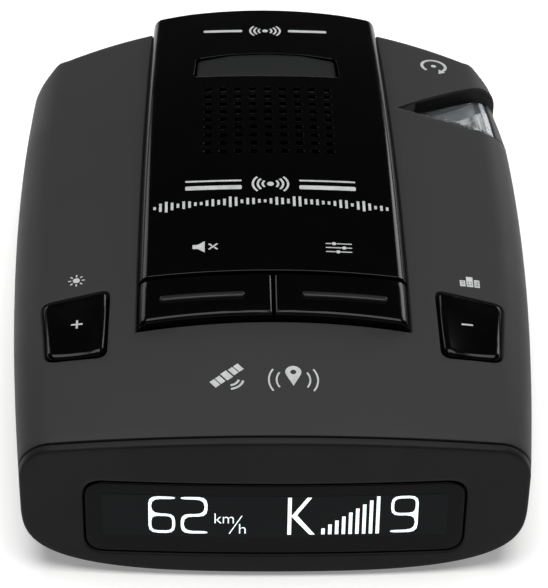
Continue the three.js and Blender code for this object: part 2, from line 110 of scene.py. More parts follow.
def half_width(y):
    return HALF_WIDTH - SIDE_BOW * (y - WIDEST_Y) ** 2


def rear_line(x):
    return REAR_Y - REAR_BOW * x * x


def seam_line(x):
    return SEAM_Y + SEAM_BULGE * x * x


def seam_over(u):
    """The seam along the skin, where u is laid over the rounded sides."""
    return seam_line(clamp(u, -SEAM_END, SEAM_END))


def face_line(x, z):
    return FRONT_Y + FACE_BULGE * x * x + (z - 1) * FACE_LEAN


def panel_half(y):
    return PANEL_HALF - PANEL_BOW * (y + 25) ** 2


def key_front(x):
    return KEY_FRONT_Y - KEY_FRONT_BOW * x * x


def key_rear(x):
    return KEY_REAR_Y - KEY_REAR_BOW * x * x


def panel_rear(x):
    return PANEL_REAR_Y - PANEL_REAR_BOW * x * x


def top_height(x, y):
    fall = FALL_TO_FRONT if y < CREST_Y else FALL_TO_REAR
    return TOP_Z - fall * (y - CREST_Y) ** 2 - CROWN * x * x


def base_height(x, half):
    share = min(1.0, abs(x) / half)
    return WAIST_Z - (WAIST_Z - BASE_Z) * (1 - share**BASE_POWER) ** (1 / BASE_POWER)


def round_drop(d, radius):
    """How far a quarter-round has fallen at a distance d in from its foot."""
    d = max(d, 0.0)
    return radius - math.sqrt(radius**2 - (radius - d) ** 2) if d < radius else 0.0


def rounded_corner(x, y):
    """Moves a point of the plan in, where the case's rear corners are rounded off."""
    far_x, far_y = half_width(y) - CORNER_ROUND, rear_line(x) - CORNER_ROUND
    a, b = (abs(x) - far_x) / CORNER_ROUND, (y - far_y) / CORNER_ROUND
    if a <= 0 or b <= 0:
        return x, y
    a, b = min(a, 1.0), min(b, 1.0)
    new_x = far_x + CORNER_ROUND * a * math.sqrt(1 - b * b / 2)
    return math.copysign(new_x, x), far_y + CORNER_ROUND * b * math.sqrt(1 - a * a / 2)


def skin(u, v, side=SHOULDER, rear=REAR_ROUND):
    """A point of the case's outer skin. u and v are laid over the rounded side and rear edges."""
    foot = half_width(v) - side
    core_x = min(abs(u), foot)
    core_y = min(v, rear_line(core_x) - rear)
    squeeze = side / rear
    out_x, out_y = abs(u) - core_x, (v - core_y) * squeeze
    out = math.hypot(out_x, out_y)
    if out < 1e-9:
        x, y = rounded_corner(u, v)
        return Vector((x, y, top_height(x, y)))
    turn = min(out / side, math.pi / 2)
    reach = side * math.sin(turn) / out
    share = (out_x / out) ** 2 + (out_y / out) ** 2 / squeeze
    fall = share * (side * (1 - math.cos(turn)) + max(0.0, out - side * math.pi / 2))
    x = math.copysign(core_x + out_x * reach, u)
    y = core_y + out_y * reach / squeeze
    x, y = rounded_corner(x, y)
    return Vector((x, y, top_height(x, y) - fall))


def off_skin(u, v, w, **rounding):
    """The skin's point at (u, v), moved w along the skin's normal."""
    here = skin(u, v, **rounding)
    along = skin(u + 0.05, v, **rounding) - here
    back = skin(u, v + 0.05, **rounding) - here
    return here + along.cross(back).normalized() * w


def lens_ramp(u, v):
    """How far the lens has sunk below the cover: none at its front edge, most at its rear wall."""
    u = min(u, 36.0)
    front = 25.4 - 0.33 * (u - 20.9)
    depth = 13.4 * clamp((u - 20.9) / 13, 0.25)
    return LENS_SINK * clamp((v - front) / depth)


def on_ramp(u, v, w):
    """A point over the sunk surface that the corner lens and its cheek lie on."""
    here = off_skin(u, v, w)
    here.z -= lens_ramp(u, v)
    return here


# ------------------------------------------------------------------ outlines
def rounded(corners, radius, steps=6):
    """A closed outline whose corners are rounded off."""
    points = []
    for i, (x, y) in enumerate(corners):
        here = Vector((x, y))
        before = Vector(corners[i - 1]) - here
        after = Vector(corners[(i + 1) % len(corners)]) - here
        a = here + before * min(0.45, radius / before.length)
        b = here + after * min(0.45, radius / after.length)
        for step in range(steps + 1):
            t = step / steps
            points.append(a * (1 - t) ** 2 + here * 2 * t * (1 - t) + b * t * t)
    return [tuple(p) for p in points]


def box_outline(x0, y0, x1, y1, radius=0.0, steps=6):
    corners = [(x0, y0), (x1, y0), (x1, y1), (x0, y1)]
    return rounded(corners, radius, steps) if radius else corners


def ring(x, y, radius, sides=24, start=0.0, sweep=2 * math.pi):
    count = sides if sweep >= 2 * math.pi else sides + 1
    return [
        (
            x + radius * math.cos(start + sweep * i / sides),
            y + radius * math.sin(start + sweep * i / sides),
        )
        for i in range(count)
    ]


def arc_band(x, y, inner, outer, start, sweep, sides=16):
    return ring(x, y, outer, sides, start, sweep) + ring(x, y, inner, sides, start, sweep)[::-1]


def drawn_in(corners, inset):
    """The outline, drawn in towards its middle by about `inset`."""
    cx = sum(c[0] for c in corners) / len(corners)
    cy = sum(c[1] for c in corners) / len(corners)
    reach_x = max(abs(c[0] - cx) for c in corners)
    reach_y = max(abs(c[1] - cy) for c in corners)
    return [
        (cx + (x - cx) * (1 - inset / reach_x), cy + (y - cy) * (1 - inset / reach_y))
        for x, y in corners
    ]


def mirrored(corners):
    return [(-x, y) for x, y in reversed(corners)]


def moved(loop, x, y, scale=1.0, turn=0.0):
    c, s = math.cos(turn), math.sin(turn)
    return [(x + scale * (a * c - b * s), y + scale * (a * s + b * c)) for a, b in loop]


def stations(start, stop, pitch):
    count = max(1, round(abs(stop - start) / pitch))
    return [start + (stop - start) * i / count for i in range(count + 1)]


DIM_CORNERS = [(-34.2, -23.3), (-33.1, -35.3), (-24.1, -35.3), (-23.9, -21.4)]
NOTCH_FRONT = [(20.9, 25.3), (33.8, 20.2), (SKIRT_U, 19.7)]
NOTCH_REAR = [(SKIRT_U, 36.4), (38.4, 36.1), (35.3, 34.9), (30.8, 32.3), (25.6, 28.8)]
CHEEK_U = 36.7  # the clear lens ends here, and the cover's sunk cheek begins
RELEASE_CORNERS = [
    (-11.8, 31.1),
    (11.8, 31.1),
    (11.4, 37.0),
    (6, 38.2),
    (0, 38.6),
    (-6, 38.2),
    (-11.4, 37.0),
]


# ------------------------------------------------------------------ mesh building
def flat_plate(outline, holes=(), depth=1.0, rim=0.0, steps=4):
    """A closed plate drawn flat, from 0 down to -depth, whose top rims are rounded."""
    bm = bmesh.new()
    edges = []
    for loop in (outline, *holes):
        verts = [bm.verts.new((x, y, -depth)) for x, y in loop]
        edges += [bm.edges.new((verts[i - 1], verts[i])) for i in range(len(verts))]
    bmesh.ops.triangle_fill(bm, edges=edges, use_beauty=True, normal=(0, 0, 1))
    raised = bmesh.ops.extrude_face_region(bm, geom=bm.faces[:])["geom"]
    top = [f for f in raised if isinstance(f, bmesh.types.BMFace)]
    lifted = [v for v in raised if isinstance(v, bmesh.types.BMVert)]
    bmesh.ops.translate(bm, verts=lifted, vec=(0, 0, depth - rim))
    bmesh.ops.recalc_face_normals(bm, faces=bm.faces)
    if rim:
        for step in range(1, steps + 1):
            a, b = (math.pi / 2 * k / steps for k in (step - 1, step))
            bmesh.ops.inset_region(
                bm,
                faces=top,
                thickness=rim * (math.cos(a) - math.cos(b)),
                depth=rim * (math.sin(b) - math.sin(a)),
                use_boundary=True,
                use_even_offset=True,
            )
    return bm


def cut_by_plane(bm, point, normal, **how):
    whole = bm.verts[:] + bm.edges[:] + bm.faces[:]
    made = bmesh.ops.bisect_plane(bm, geom=whole, plane_co=point, plane_no=normal, **how)
    return made["geom_cut"]


def lattice(bm, xs=(), ys=()):
    """Cuts the plate along the given X and Y lines, so that it can bend."""
    for normal, places in (((1, 0, 0), xs), ((0, 1, 0), ys)):
        for place in places:
            for part in cut_by_plane(bm, Vector(normal) * place, normal, dist=1e-4):
                if isinstance(part, bmesh.types.BMEdge):
                    part.seam = True
    bmesh.ops.dissolve_limit(
        bm,
        angle_limit=0.01,
        use_dissolve_boundaries=False,
        verts=bm.verts,
        edges=bm.edges,
        delimit={"SEAM"},
    )
    return bm


def wrap(bm, place):
    for vert in bm.verts:
        vert.co = place(*vert.co)
    return bm


def cut_at_split(bm):
    """Removes what hangs below the line where the case splits, and closes the cut."""
    cut_by_plane(bm, (0, 0, SPLIT_Z + GAP / 2), (0, 0, -1), dist=1e-5, clear_outer=True)
    open_edges = [e for e in bm.edges if len(e.link_faces) == 1]
    bmesh.ops.holes_fill(bm, edges=open_edges, sides=0)
    return bm


def to_mesh(bm, name):
    mesh = bpy.data.meshes.new(name)
    bm.to_mesh(mesh)
    bm.free()
    return mesh


def add_object(name, data):
    """A new object, linked into the scene."""
    made = bpy.data.objects.new(name, data)
    bpy.context.scene.collection.objects.link(made)
    return made


def join(*parts):
    """Several meshes as one."""
    whole = bmesh.new()
    for part in parts:
        loose = to_mesh(part, "part")
        whole.from_mesh(loose)
        bpy.data.meshes.remove(loose)
    return whole


def lathe(profile, place, axis="Z", sides=48):
    """A turned solid: profile is (radius, height) points from axis to axis."""
    bm = bmesh.new()
    verts = [bm.verts.new((r, 0, h)) for r, h in profile]
    edges = [bm.edges.new(pair) for pair in zip(verts, verts[1:])]
    bmesh.ops.spin(
        bm,
        geom=verts + edges,
        cent=(0, 0, 0),
        axis=(0, 0, 1),
        angle=2 * math.pi,
        steps=sides,
        use_merge=True,
    )
    bmesh.ops.remove_doubles(bm, verts=bm.verts, dist=1e-4)
    turn = {"Z": Matrix(), "X": Matrix.Rotation(math.pi / 2, 4, "Y")}[axis]
    bmesh.ops.transform(bm, matrix=Matrix.Translation(place) @ turn, verts=bm.verts)
    return bm


def finish_piece(name, bm, finish, replaces=(), body="housing", crease=CREASE):
    """Turns the mesh into a piece in metres that rides on a body."""
    bmesh.ops.remove_doubles(bm, verts=bm.verts, dist=2e-4)
    bmesh.ops.dissolve_degenerate(bm, dist=1e-4, edges=bm.edges)
    bmesh.ops.recalc_face_normals(bm, faces=bm.faces)
    bmesh.ops.scale(bm, vec=(MM, MM, MM), verts=bm.verts)
    for face in bm.faces:
        face.smooth = True
    for edge in bm.edges:
        edge.seam = False
        edge.smooth = edge.calc_face_angle(0) < math.radians(crease)
    piece = add_object(name, to_mesh(bm, name))
    piece.data.materials.append(MATERIALS[finish])
    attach(piece, body)
    if replaces:
        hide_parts(*replaces)
    return piece


# ------------------------------------------------------------------ materials
def from_hex(value):
    """An sRGB hex colour as linear RGBA."""
    parts = [int(value[i : i + 2], 16) / 255 for i in (1, 3, 5)]
    return [p / 12.92 if p <= 0.04045 else ((p + 0.055) / 1.055) ** 2.4 for p in parts] + [1.0]


def add_node(material, kind, inputs):
    """Adds a node; each input is a value or another node's output."""
    made = material.node_tree.nodes.new(kind)
    for name, value in inputs.items():
        if isinstance(value, bpy.types.NodeSocket):
            material.node_tree.links.new(value, made.inputs[name])
        else:
            made.inputs[name].default_value = value
    return made


def noise_over(material, size_mm, **inputs):
    """Noise on object coordinates, with features of about the given size."""
    where = add_node(material, "ShaderNodeTexCoord", {}).outputs["Object"]
    inputs.update(Vector=where, Scale=1 / (size_mm * MM))
    return add_node(material, "ShaderNodeTexNoise", inputs).outputs["Fac"]


def grain(material, shader, cell_mm, depth_mm, detail=2.0, strength=1.0):
    """Fine surface relief: cell_mm is the size of a grain and depth_mm its height."""
    height = noise_over(material, cell_mm, Detail=detail, Roughness=0.55)
    relief = {"Height": height, "Distance": depth_mm * MM, "Strength": strength}
    bump = add_node(material, "ShaderNodeBump", relief)
    material.node_tree.links.new(bump.outputs["Normal"], shader.inputs["Normal"])


def cloudy(material, shader, low, high, patch_mm):
    """Lets the roughness wander between low and high over patches of the given size."""
    noise = noise_over(material, patch_mm, Detail=3.0)
    limits = {"Value": noise, "From Min": 0.3, "From Max": 0.7, "To Min": low, "To Max": high}
    spread = add_node(material, "ShaderNodeMapRange", limits)
    material.node_tree.links.new(spread.outputs["Result"], shader.inputs["Roughness"])


def tinted(material, shader, first, second, patch_mm):
    """Lets the colour wander between two near shades."""
    ramp = add_node(
        material, "ShaderNodeValToRGB", {"Fac": noise_over(material, patch_mm, Detail=4.0)}
    )
    for stop, place, shade in zip(ramp.color_ramp.elements, (0.35, 0.65), (first, second)):
        stop.position = place
        stop.color = from_hex(shade)
    material.node_tree.links.new(ramp.outputs["Color"], shader.inputs["Base Color"])


ROUGH, SPECULAR, METAL, SHEEN = "Roughness", "Specular IOR Level", "Metallic", "Sheen Weight"
CLEAR, GLOW, GLOW_COLOUR = "Transmission Weight", "Emission Strength", "Emission Color"
COVER_COLOUR = "#2b2b2c"
PANEL_COLOUR = "#020202"
ACRYLIC_IOR = 1.49
POLYCARBONATE_IOR = 1.58

# Each finish: its name, its colour, its shader's values, and its patterns with their measures.
FINISHES = {
    # Soft-touch polyurethane paint on moulded ABS: a dry dark grey with a faint velvet bloom.
    "soft_touch": (
        "soft_touch_paint", COVER_COLOUR,
        {ROUGH: 0.6, SHEEN: 0.03, "Sheen Roughness": 0.5, SPECULAR: 0.16},
        {grain: (0.22, 0.012, 3.0, 0.55), cloudy: (0.54, 0.63, 14)},
    ),
    # Spark-eroded ABS: a near-black even matt with a fine sandy tooth.
    "textured_abs": (
        "spark_textured_abs", "#131314",
        {ROUGH: 0.5, SPECULAR: 0.12},
        {grain: (0.3, 0.02, 4.0, 0.4), tinted: ("#121213", "#161617", 9)},
    ),
    # The same plastic left deep black, for the walls round the lens, and as painted shadow in the
    # front seam.
    "black_abs_and_seam_shadow": (
        "deep_black_abs", "#161617",
        {ROUGH: 0.6, SPECULAR: 0.1},
        {grain: (0.3, 0.02)},
    ),
    # Mould-polished ABS with a hard coat: mirror black, with the slightest orange peel.
    "piano_black": (
        "piano_black_abs", PANEL_COLOUR,
        {ROUGH: 0.16, SPECULAR: 0.14, "Coat Weight": 0.04, "Coat Roughness": 0.08},
        {grain: (2.4, 0.004, 1.0, 0.35), cloudy: (0.14, 0.2, 6)},
    ),
    # The same black with a satin polish, for the finger ribs and the release key.
    "satin_black": (
        "satin_black_abs", "#131414",
        {ROUGH: 0.4, SPECULAR: 0.25},
        {grain: (0.2, 0.006, 2.0, 0.4)},
    ),
    # Smoked cast acrylic: deep grey-black with a hard clean gloss.
    "smoked": (
        "smoked_acrylic", "#050606",
        {ROUGH: 0.06, SPECULAR: 0.08, "IOR": ACRYLIC_IOR},
        {cloudy: (0.035, 0.07, 8)},
    ),
    # The same acrylic where the display behind it gives it a faint glow.
    "screen": (
        "lit_smoked_acrylic", "#090b0c",
        {ROUGH: 0.08, SPECULAR: 0.08, "IOR": ACRYLIC_IOR}
        | {GLOW_COLOUR: from_hex("#20262a"), GLOW: 0.05},
        {cloudy: (0.06, 0.1, 8)},
    ),
    # Organic LED segments seen through the acrylic: a cool even white light.
    "oled": (
        "oled_segments", "#dfe9ea",
        {ROUGH: 0.2, GLOW_COLOUR: from_hex("#f0fbfb")},
        {cloudy: (0.18, 0.24, 5)},
    ),
    # Pad-printed ink: flat light grey, slightly uneven.
    "ink": (
        "pad_printed_ink", "#b3b5b5",
        {ROUGH: 0.5},
        {tinted: ("#a9abab", "#bcbebe", 1.5), grain: (0.15, 0.004)},
    ),
    # Clear injection-moulded polycarbonate, polished: bright edges and a faint grey body.
    "clear": (
        "clear_polycarbonate", "#e4e8ea",
        {ROUGH: 0.03, "IOR": POLYCARBONATE_IOR, CLEAR: 0.94},
        {cloudy: (0.02, 0.05, 5)},
    ),
    # The same polycarbonate made pale and nearly opaque: a painted highlight, for the light that
    # its clear edges catch.
    "lit_edge": (
        "polycarbonate_painted_highlight", "#b9bdc0",
        {ROUGH: 0.28, "IOR": POLYCARBONATE_IOR, CLEAR: 0.15},
        {cloudy: (0.22, 0.34, 1.5)},
    ),
    # Vacuum-metallised tray behind the lens: satin aluminium, uneven as such trays are, with its
    # colour lifted near white as painted light for what the lens gathers on to it.
    "tray": (
        "metallised_tray_painted_light", "#babdbf",
        {ROUGH: 0.42, METAL: 0.1},
        {cloudy: (0.32, 0.52, 3), tinted: ("#a4a8aa", "#d0d3d5", 3)},
    ),
    # Infrared-pass acrylic: very deep red under a gloss surface.
    "infrared": (
        "infrared_pass_acrylic", "#1a0405",
        {ROUGH: 0.12, SPECULAR: 0.12, "IOR": ACRYLIC_IOR},
        {cloudy: (0.1, 0.15, 6)},
    ),
    # Moulded silicone rubber: dull black with a dusty bloom.
    "rubber": (
        "moulded_silicone_rubber", "#161617",
        {ROUGH: 0.85, SHEEN: 0.2},
        {tinted: ("#131314", "#1b1b1c", 2.5), grain: (0.35, 0.03)},
    ),
    # Zinc-plated steel screws and tinned sheet: bright grey metal with fine turning marks.
    "steel": (
        "zinc_plated_steel", "#b6b8ba",
        {ROUGH: 0.3, METAL: 1.0},
        {grain: (0.12, 0.006), cloudy: (0.24, 0.38, 1.5)},
    ),
    # Die-cast zinc, as cast: duller and greyer, with a slight flow pattern.
    "zinc": (
        "die_cast_zinc", "#8f9194",
        {ROUGH: 0.45, METAL: 0.9},
        {grain: (0.6, 0.03), cloudy: (0.38, 0.52, 5)},
    ),
    # Glass-epoxy board under green solder mask: semi-gloss with the weave just showing.
    "board": (
        "solder_masked_board", "#0d4a2c",
        {ROUGH: 0.35},
        {tinted: ("#0b4428", "#105232", 4), grain: (0.5, 0.01)},
    ),
    # Transfer-moulded epoxy packages: fine matt black.
    "epoxy": (
        "moulded_epoxy", "#1a1a1c",
        {ROUGH: 0.5},
        {grain: (0.15, 0.01), cloudy: (0.45, 0.56, 3)},
    ),
    # Fired ceramic patch: sandy, dry and slightly speckled.
    "ceramic": (
        "fired_ceramic", "#b9a98b",
        {ROUGH: 0.7},
        {tinted: ("#b2a283", "#c1b294", 0.8), grain: (0.2, 0.015)},
    ),
    # Satin polyester label film: pale silver-grey.
    "label": (
        "polyester_label_film", "#c4c6c8",
        {ROUGH: 0.4},
        {cloudy: (0.36, 0.46, 10), grain: (0.25, 0.004)},
    ),
    # Polyimide flex: amber film over copper.
    "polyimide": (
        "polyimide_film", "#a5611d",
        {ROUGH: 0.3},
        {tinted: ("#9a5818", "#b06a24", 3)},
    ),
    # Woven acoustic gauze: dead black cloth behind the sound holes.
    "gauze": ("woven_acoustic_gauze", "#070707", {ROUGH: 0.95}, {grain: (0.2, 0.05)}),
    # Opal acrylic lit from below, for the studio's floor: it keeps shadows faint.
    "opal": (
        "lit_opal_acrylic", "#f4f4f3",
        {ROUGH: 0.9, GLOW_COLOUR: (1, 1, 1, 1), GLOW: 0.25},
        {},
    ),
}
MATERIALS = {}


def make_materials(chosen):
    """Makes every finish, with the colours and the light that the user chose."""
    own = {
        "soft_touch": {"Base Color": [*chosen.cover_colour, 1.0]},
        "piano_black": {"Base Color": [*chosen.panel_colour, 1.0]},
        "oled": {GLOW: chosen.display_light},
    }
    for key, (name, colour, values, patterns) in FINISHES.items():
        made = MATERIALS[key] = bpy.data.materials.new(name)
        made.use_nodes = True
        shader = made.node_tree.nodes["Principled BSDF"]
        for socket, value in ({"Base Color": from_hex(colour)} | values | own.get(key, {})).items():
            shader.inputs[socket].default_value = value
        for pattern, measures in patterns.items():
            pattern(made, shader, *measures)


# ------------------------------------------------------------------ case
COVER_LINES_X = sorted(
    stations(-31, 31, 2.0)
    + [side * u for side in (-1, 1) for u in stations(31.7, 46, 0.8)]
)
COVER_LINES_Y = sorted(
    stations(-50.5, 38, 2.0) + stations(39.5, 50.5, 1.1) + stations(51.6, 54, 0.3) + [56, 58, 60]
)
BED_ROUND = 1.5
BEND_FROM_Y = 38.0  # from here to the rear, the cover's plate is bent to the rear edge


def bent_to_rear(u, v):
    """Where a point of the cover's plate, drawn with a straight rear edge, lies on the skin."""
    share = clamp((v - BEND_FROM_Y) / (REAR_Y - BEND_FROM_Y))
    return v - REAR_BOW * min(abs(u), 32.5) ** 2 * share


def cover():
    """The soft-touch cover: a U round the centre panel, open at the keys and at the lens."""
    clear_of_seam = GAP / 2 + 0.1
    front = [(u, seam_over(u) + clear_of_seam) for u in stations(-SKIRT_U, SKIRT_U, 2.4)]
    right = [*NOTCH_FRONT[::-1], *NOTCH_REAR[::-1], (SKIRT_U, SKIRT_V)]
    channel = [(panel_half(y), y) for y in stations(SKIRT_V, -28.5, 4.0)]
    lip = [(x, key_front(x)) for x in stations(PANEL_HALF, -PANEL_HALF, 3.0)]
    left = [(-panel_half(y), y) for y in stations(-28.5, SKIRT_V, 4.0)]
    outline = [*front, *right, *channel, *lip, *left, (-SKIRT_U, SKIRT_V)]
    buttons = [rounded(DIM_CORNERS, 1.6), rounded(mirrored(DIM_CORNERS), 1.6)]
    bm = flat_plate(outline, buttons, depth=COVER_WALL, rim=0.16, steps=3)
    lattice(bm, COVER_LINES_X, COVER_LINES_Y)
    wrap(bm, lambda u, v, w: off_skin(u, bent_to_rear(u, v), w))
    return join(cut_at_split(bm), lens_cheek())


def seam_shadow_strip():
    """The black strip that closes the seam between the cover and the bezel: a painted shadow, dark
    for the shade that falls in the gap.
    """
    places = stations(-45, 45, 1.2)
    outline = [(u, seam_over(u) - 0.3) for u in places]
    outline += [(u, seam_over(u) + 0.4) for u in places[::-1]]
    bm = lattice(flat_plate(outline, depth=0.8), places[1:-1])
    return cut_at_split(wrap(bm, lambda u, v, w: off_skin(u, v, w - 0.6)))


def lens_cheek():
    """The cover's sunk strip outside the corner lens."""
    corners = [(CHEEK_U, 20.1), (SKIRT_U, 19.9), (SKIRT_U, 36.1), (CHEEK_U, 35.3)]
    bm = flat_plate(corners, depth=COVER_WALL, rim=0.12, steps=2)
    lattice(bm, stations(37.4, 47, 0.8), stations(21, 35, 1.0))
    return cut_at_split(wrap(bm, on_ramp))


def wall_v(x, z):
    """Where a height on the rear wall lies along the skin, for a small rear rounding."""
    foot = rear_line(x) - BED_ROUND
    return foot + BED_ROUND * math.pi / 2 + top_height(x, rear_line(x)) - BED_ROUND - z


def panel_bed():
    """The bed under the centre panel, which turns down to the rear wall and its bracket slot."""
    side = STRIP + 0.5
    outline = [
        *[(x, key_rear(x) + 0.6) for x in stations(-side, side, 3)],
        *[(x, 62.5) for x in stations(side, -side, 3)],
    ]
    slot = [(x, wall_v(x, 17.6)) for x in stations(-13.1, 13.1, 2.4)]
    slot += [(x, wall_v(x, 15.2)) for x in stations(13.1, -13.1, 2.4)]
    holes = [box_outline(-11, 7, 11, 28.5, 1), slot, rounded(RELEASE_CORNERS, 0.7)]
    bm = flat_plate(outline, holes, depth=1.4)
    lattice(bm, stations(-19.9, 19.9, 2.8), sorted(stations(-20, 50, 3) + stations(50.6, 60, 0.5)))

    def place(x, v, w):
        stretch = (panel_half(v) + 0.4) / side
        x = x * stretch if abs(x) > STRAIGHT + 1 else x
        sunk = 1.55 * (1 - clamp((v - 49.5) / 2.5))
        return off_skin(x, v, w - sunk, side=BED_ROUND, rear=BED_ROUND)

    return cut_at_split(wrap(bm, place))


def lens_pocket():
    """The black walls that line the notch in the cover, round the lens."""
    inner = [(36.9, 20.4), (33.9, 20.45), (23.4, 24.6), (24.0, 27.4), (30.9, 32.0), (35.4, 34.6)]
    inner += [(37.9, 35.6), (37.9, 36.3)]
    outer = [(37.9, 37.6), (33.9, 36.6), (26.0, 31.4), (18.7, 26.1), (18.9, 24.6), (33.4, 18.9)]
    outer += [(36.9, 18.8)]
    bm = flat_plate(inner + outer, depth=7.5)
    lattice(bm, stations(19, 37, 1.5), stations(19.5, 37, 1.5))

    def place(u, v, w):
        here = skin(u, v)
        low = 0.28 if v > 25.6 + 0.6 * max(0.0, u - 22) else 0.5 + 0.5 * lens_ramp(u, v)
        return Vector((here.x, here.y, max(SPLIT_Z + 0.2, here.z - low + w)))

    return wrap(bm, place)


def lower_case_shell():
    """The lower case as an open bowl: a cube's fine grid, moved on to the case's surfaces."""
    bm = bmesh.new()
    bmesh.ops.create_cube(bm, size=2)
    bmesh.ops.subdivide_edges(bm, edges=bm.edges, cuts=35, use_grid_fill=True)
    roof_z = SPLIT_Z - GAP / 2

    def place(u, v, w):
        across = math.copysign(1 - (1 - abs(u)) ** 2.0, u)
        along = 1 - (1 - (v + 1) / 2) ** 1.8
        nominal_x = across * HALF_WIDTH
        nominal_y = seam_line(nominal_x) + (rear_line(nominal_x) - seam_line(nominal_x)) * along
        from_rear = rear_line(nominal_x) - nominal_y
        half = half_width(nominal_y)
        x = across * half
        floor = min(base_height(x, half) + round_drop(from_rear, 2.4), roof_z - 0.4)
        z = floor + (roof_z - floor) * (w + 1) / 2
        start = seam_line(x) + GAP / 2
        x, y = rounded_corner(x, start + (rear_line(x) - start) * along)
        return Vector((x, y, z))

    wrap(bm, place)
    top = [f for f in bm.faces if all(v.co.z > roof_z - 1e-4 for v in f.verts)]
    bmesh.ops.delete(bm, geom=top, context="FACES")
    bmesh.ops.remove_doubles(bm, verts=bm.verts, dist=1e-4)
    bmesh.ops.recalc_face_normals(bm, faces=bm.faces)
    return bm


def cut_away(piece, cutter):
    """Takes the cutter's volume out of a piece, for good."""
    bmesh.ops.recalc_face_normals(cutter, faces=cutter.faces)
    bmesh.ops.scale(cutter, vec=(MM, MM, MM), verts=cutter.verts)
    mesh = to_mesh(cutter, "cutter")
    tool = add_object("cutter", mesh)
    cut = piece.modifiers.new("cut", "BOOLEAN")
    cut.operation = "DIFFERENCE"
    cut.solver = "EXACT"
    cut.object = tool
    graph = bpy.context.evaluated_depsgraph_get()
    shaped = bpy.data.meshes.new_from_object(piece.evaluated_get(graph))
    piece.modifiers.clear()
    old = piece.data
    piece.data = shaped
    bpy.data.meshes.remove(old)
    bpy.data.objects.remove(tool)
    bpy.data.meshes.remove(mesh)
    bm = bmesh.new()
    bm.from_mesh(piece.data)
    for edge in bm.edges:
        edge.smooth = edge.calc_face_angle(0) < math.radians(30)  # the cuts stay sharp
    bm.to_mesh(piece.data)
    bm.free()


SCREWS = [(-29.5, -43), (29.5, -43), (-27.5, 40), (27.5, 40)]
FEET = [(-20, -36), (20, -36), (-20, 34), (20, 34)]


def plug(radius, top, bottom=-4.0):
    """The profile of a round cutter."""
    return [(0, bottom), (radius, bottom), (radius, top), (0, top)]


def slab(x0, y0, x1, y1, top, depth, radius=0.0):
    """A flat cutter whose top is at the given height."""
    bm = flat_plate(box_outline(x0, y0, x1, y1, radius), depth=depth)
    bmesh.ops.translate(bm, verts=bm.verts, vec=(0, 0, top))
    return bm


def lower_case():
    """The lower case, opened for its screws, feet, sockets, label and rear lens."""
    bm = lower_case_shell()
    bmesh.ops.solidify(bm, geom=bm.faces[:], thickness=SHELL_WALL)
    piece = finish_piece("lower_case_shell", bm, "textured_abs", ["lower_case"])
    screws = [lathe(plug(2.9, 6), (x, y, 0)) for x, y in SCREWS]
    feet = [lathe(plug(5.1, 2.0), (x, y, 0)) for x, y in FEET]
    jack = lathe(plug(3.6, 9, -9), (-38.5, 6, 9.2), "X")
    port = slab(-42, -7.7, -30, 0.7, 10.8, 4.2)
    label = slab(-20.3, -12.3, 20.3, 10.3, 1.5, 4, 1)
    window = flat_plate(box_outline(-26.4, 5.4, -13.4, 11.6, 1.4), depth=30)
    upright = Matrix.Rotation(math.pi / 2, 3, "X")
    bmesh.ops.rotate(window, cent=(0, 0, 0), matrix=upright, verts=window.verts)
    bmesh.ops.translate(window, verts=window.verts, vec=(0, 38, 0))
    cut_away(piece, join(*screws, *feet, jack, port, label, window))


def boss(x, y):
    """A screw boss inside the lower case, with its counterbore."""
    profile = [(2.55, 3.5), (3.6, 3.5), (3.6, 13.9), (3.3, 14.15), (1.5, 14.15), (1.5, 5.4)]
    profile += [(2.55, 5.4), (2.55, 3.5)]
    return lathe(profile, (x, y, 0), sides=32)


# ------------------------------------------------------------------ bezel and display
SECTION_Y = -52.0
BEZEL_DEPTH = 2.2
WINDOW_SINK = 0.12
DIGIT_Z, DIGIT_HEIGHT, DIGIT_STROKE = 8.0, 6.6, 0.42


def front_section():
    """The case's outline seen from the front, as (x, z) points."""
    half = half_width(SECTION_Y)
    points = []
    for i in range(61):
        turn = -math.pi / 2 + math.pi * i / 60
        share = abs(math.sin(turn)) ** (2 / BASE_POWER)
        x = math.copysign(half * share, turn)
        z = WAIST_Z - (WAIST_Z - BASE_Z) * abs(math.cos(turn)) ** (2 / BASE_POWER)
        points.append((x, z))
    foot = half - SHOULDER
    arcs = []
    for i in range(11):
        turn = math.pi / 2 * (1 - i / 10)
        x = foot + SHOULDER * math.sin(turn)
        arcs.append((x, top_height(x, SECTION_Y) - SHOULDER * (1 - math.cos(turn))))
    points += arcs
    points += [(x, top_height(x, SECTION_Y)) for x in stations(foot, -foot, 3)[1:-1]]
    points += [(-x, z) for x, z in reversed(arcs)]
    return points


def on_face(x, z, w):
    """Moves the bezel's plate on to the leaning face, with its underside along the seam."""
    y = seam_line(x) - GAP / 2 if w < -BEZEL_DEPTH + 0.01 else face_line(x, z) - w
    lift = clamp((z - WAIST_Z) / 11)
    rise = top_height(x, y) - top_height(x, SECTION_Y)
    return Vector((x * half_width(y) / half_width(SECTION_Y), y, z + lift * rise))


WINDOW = (-27.3, 4.1, 27.3, 17.0)


def bezel():
    """The front bezel with the opening for the display window."""
    x0, z0, x1, z1 = WINDOW
    hole = box_outline(x0, z0, x1, z1, 3.0, 10)
    bm = flat_plate(front_section(), [hole], depth=BEZEL_DEPTH, rim=0.42)
    lattice(bm, stations(-35, 35, 2.5), stations(2, 23, 1.75))
    return wrap(bm, on_face)


def window_plate():
    """The smoked window in the bezel."""
    x0, z0, x1, z1 = WINDOW
    outline = box_outline(x0 + 0.3, z0 + 0.3, x1 - 0.3, z1 - 0.3, 2.8, 10)
    bm = flat_plate(outline, depth=1.5, rim=0.2)
    lattice(bm, stations(-26, 26, 2.6), stations(5, 16, 2.2))
    return wrap(bm, lambda x, z, w: Vector((x, face_line(x, z) + WINDOW_SINK - w, z)))


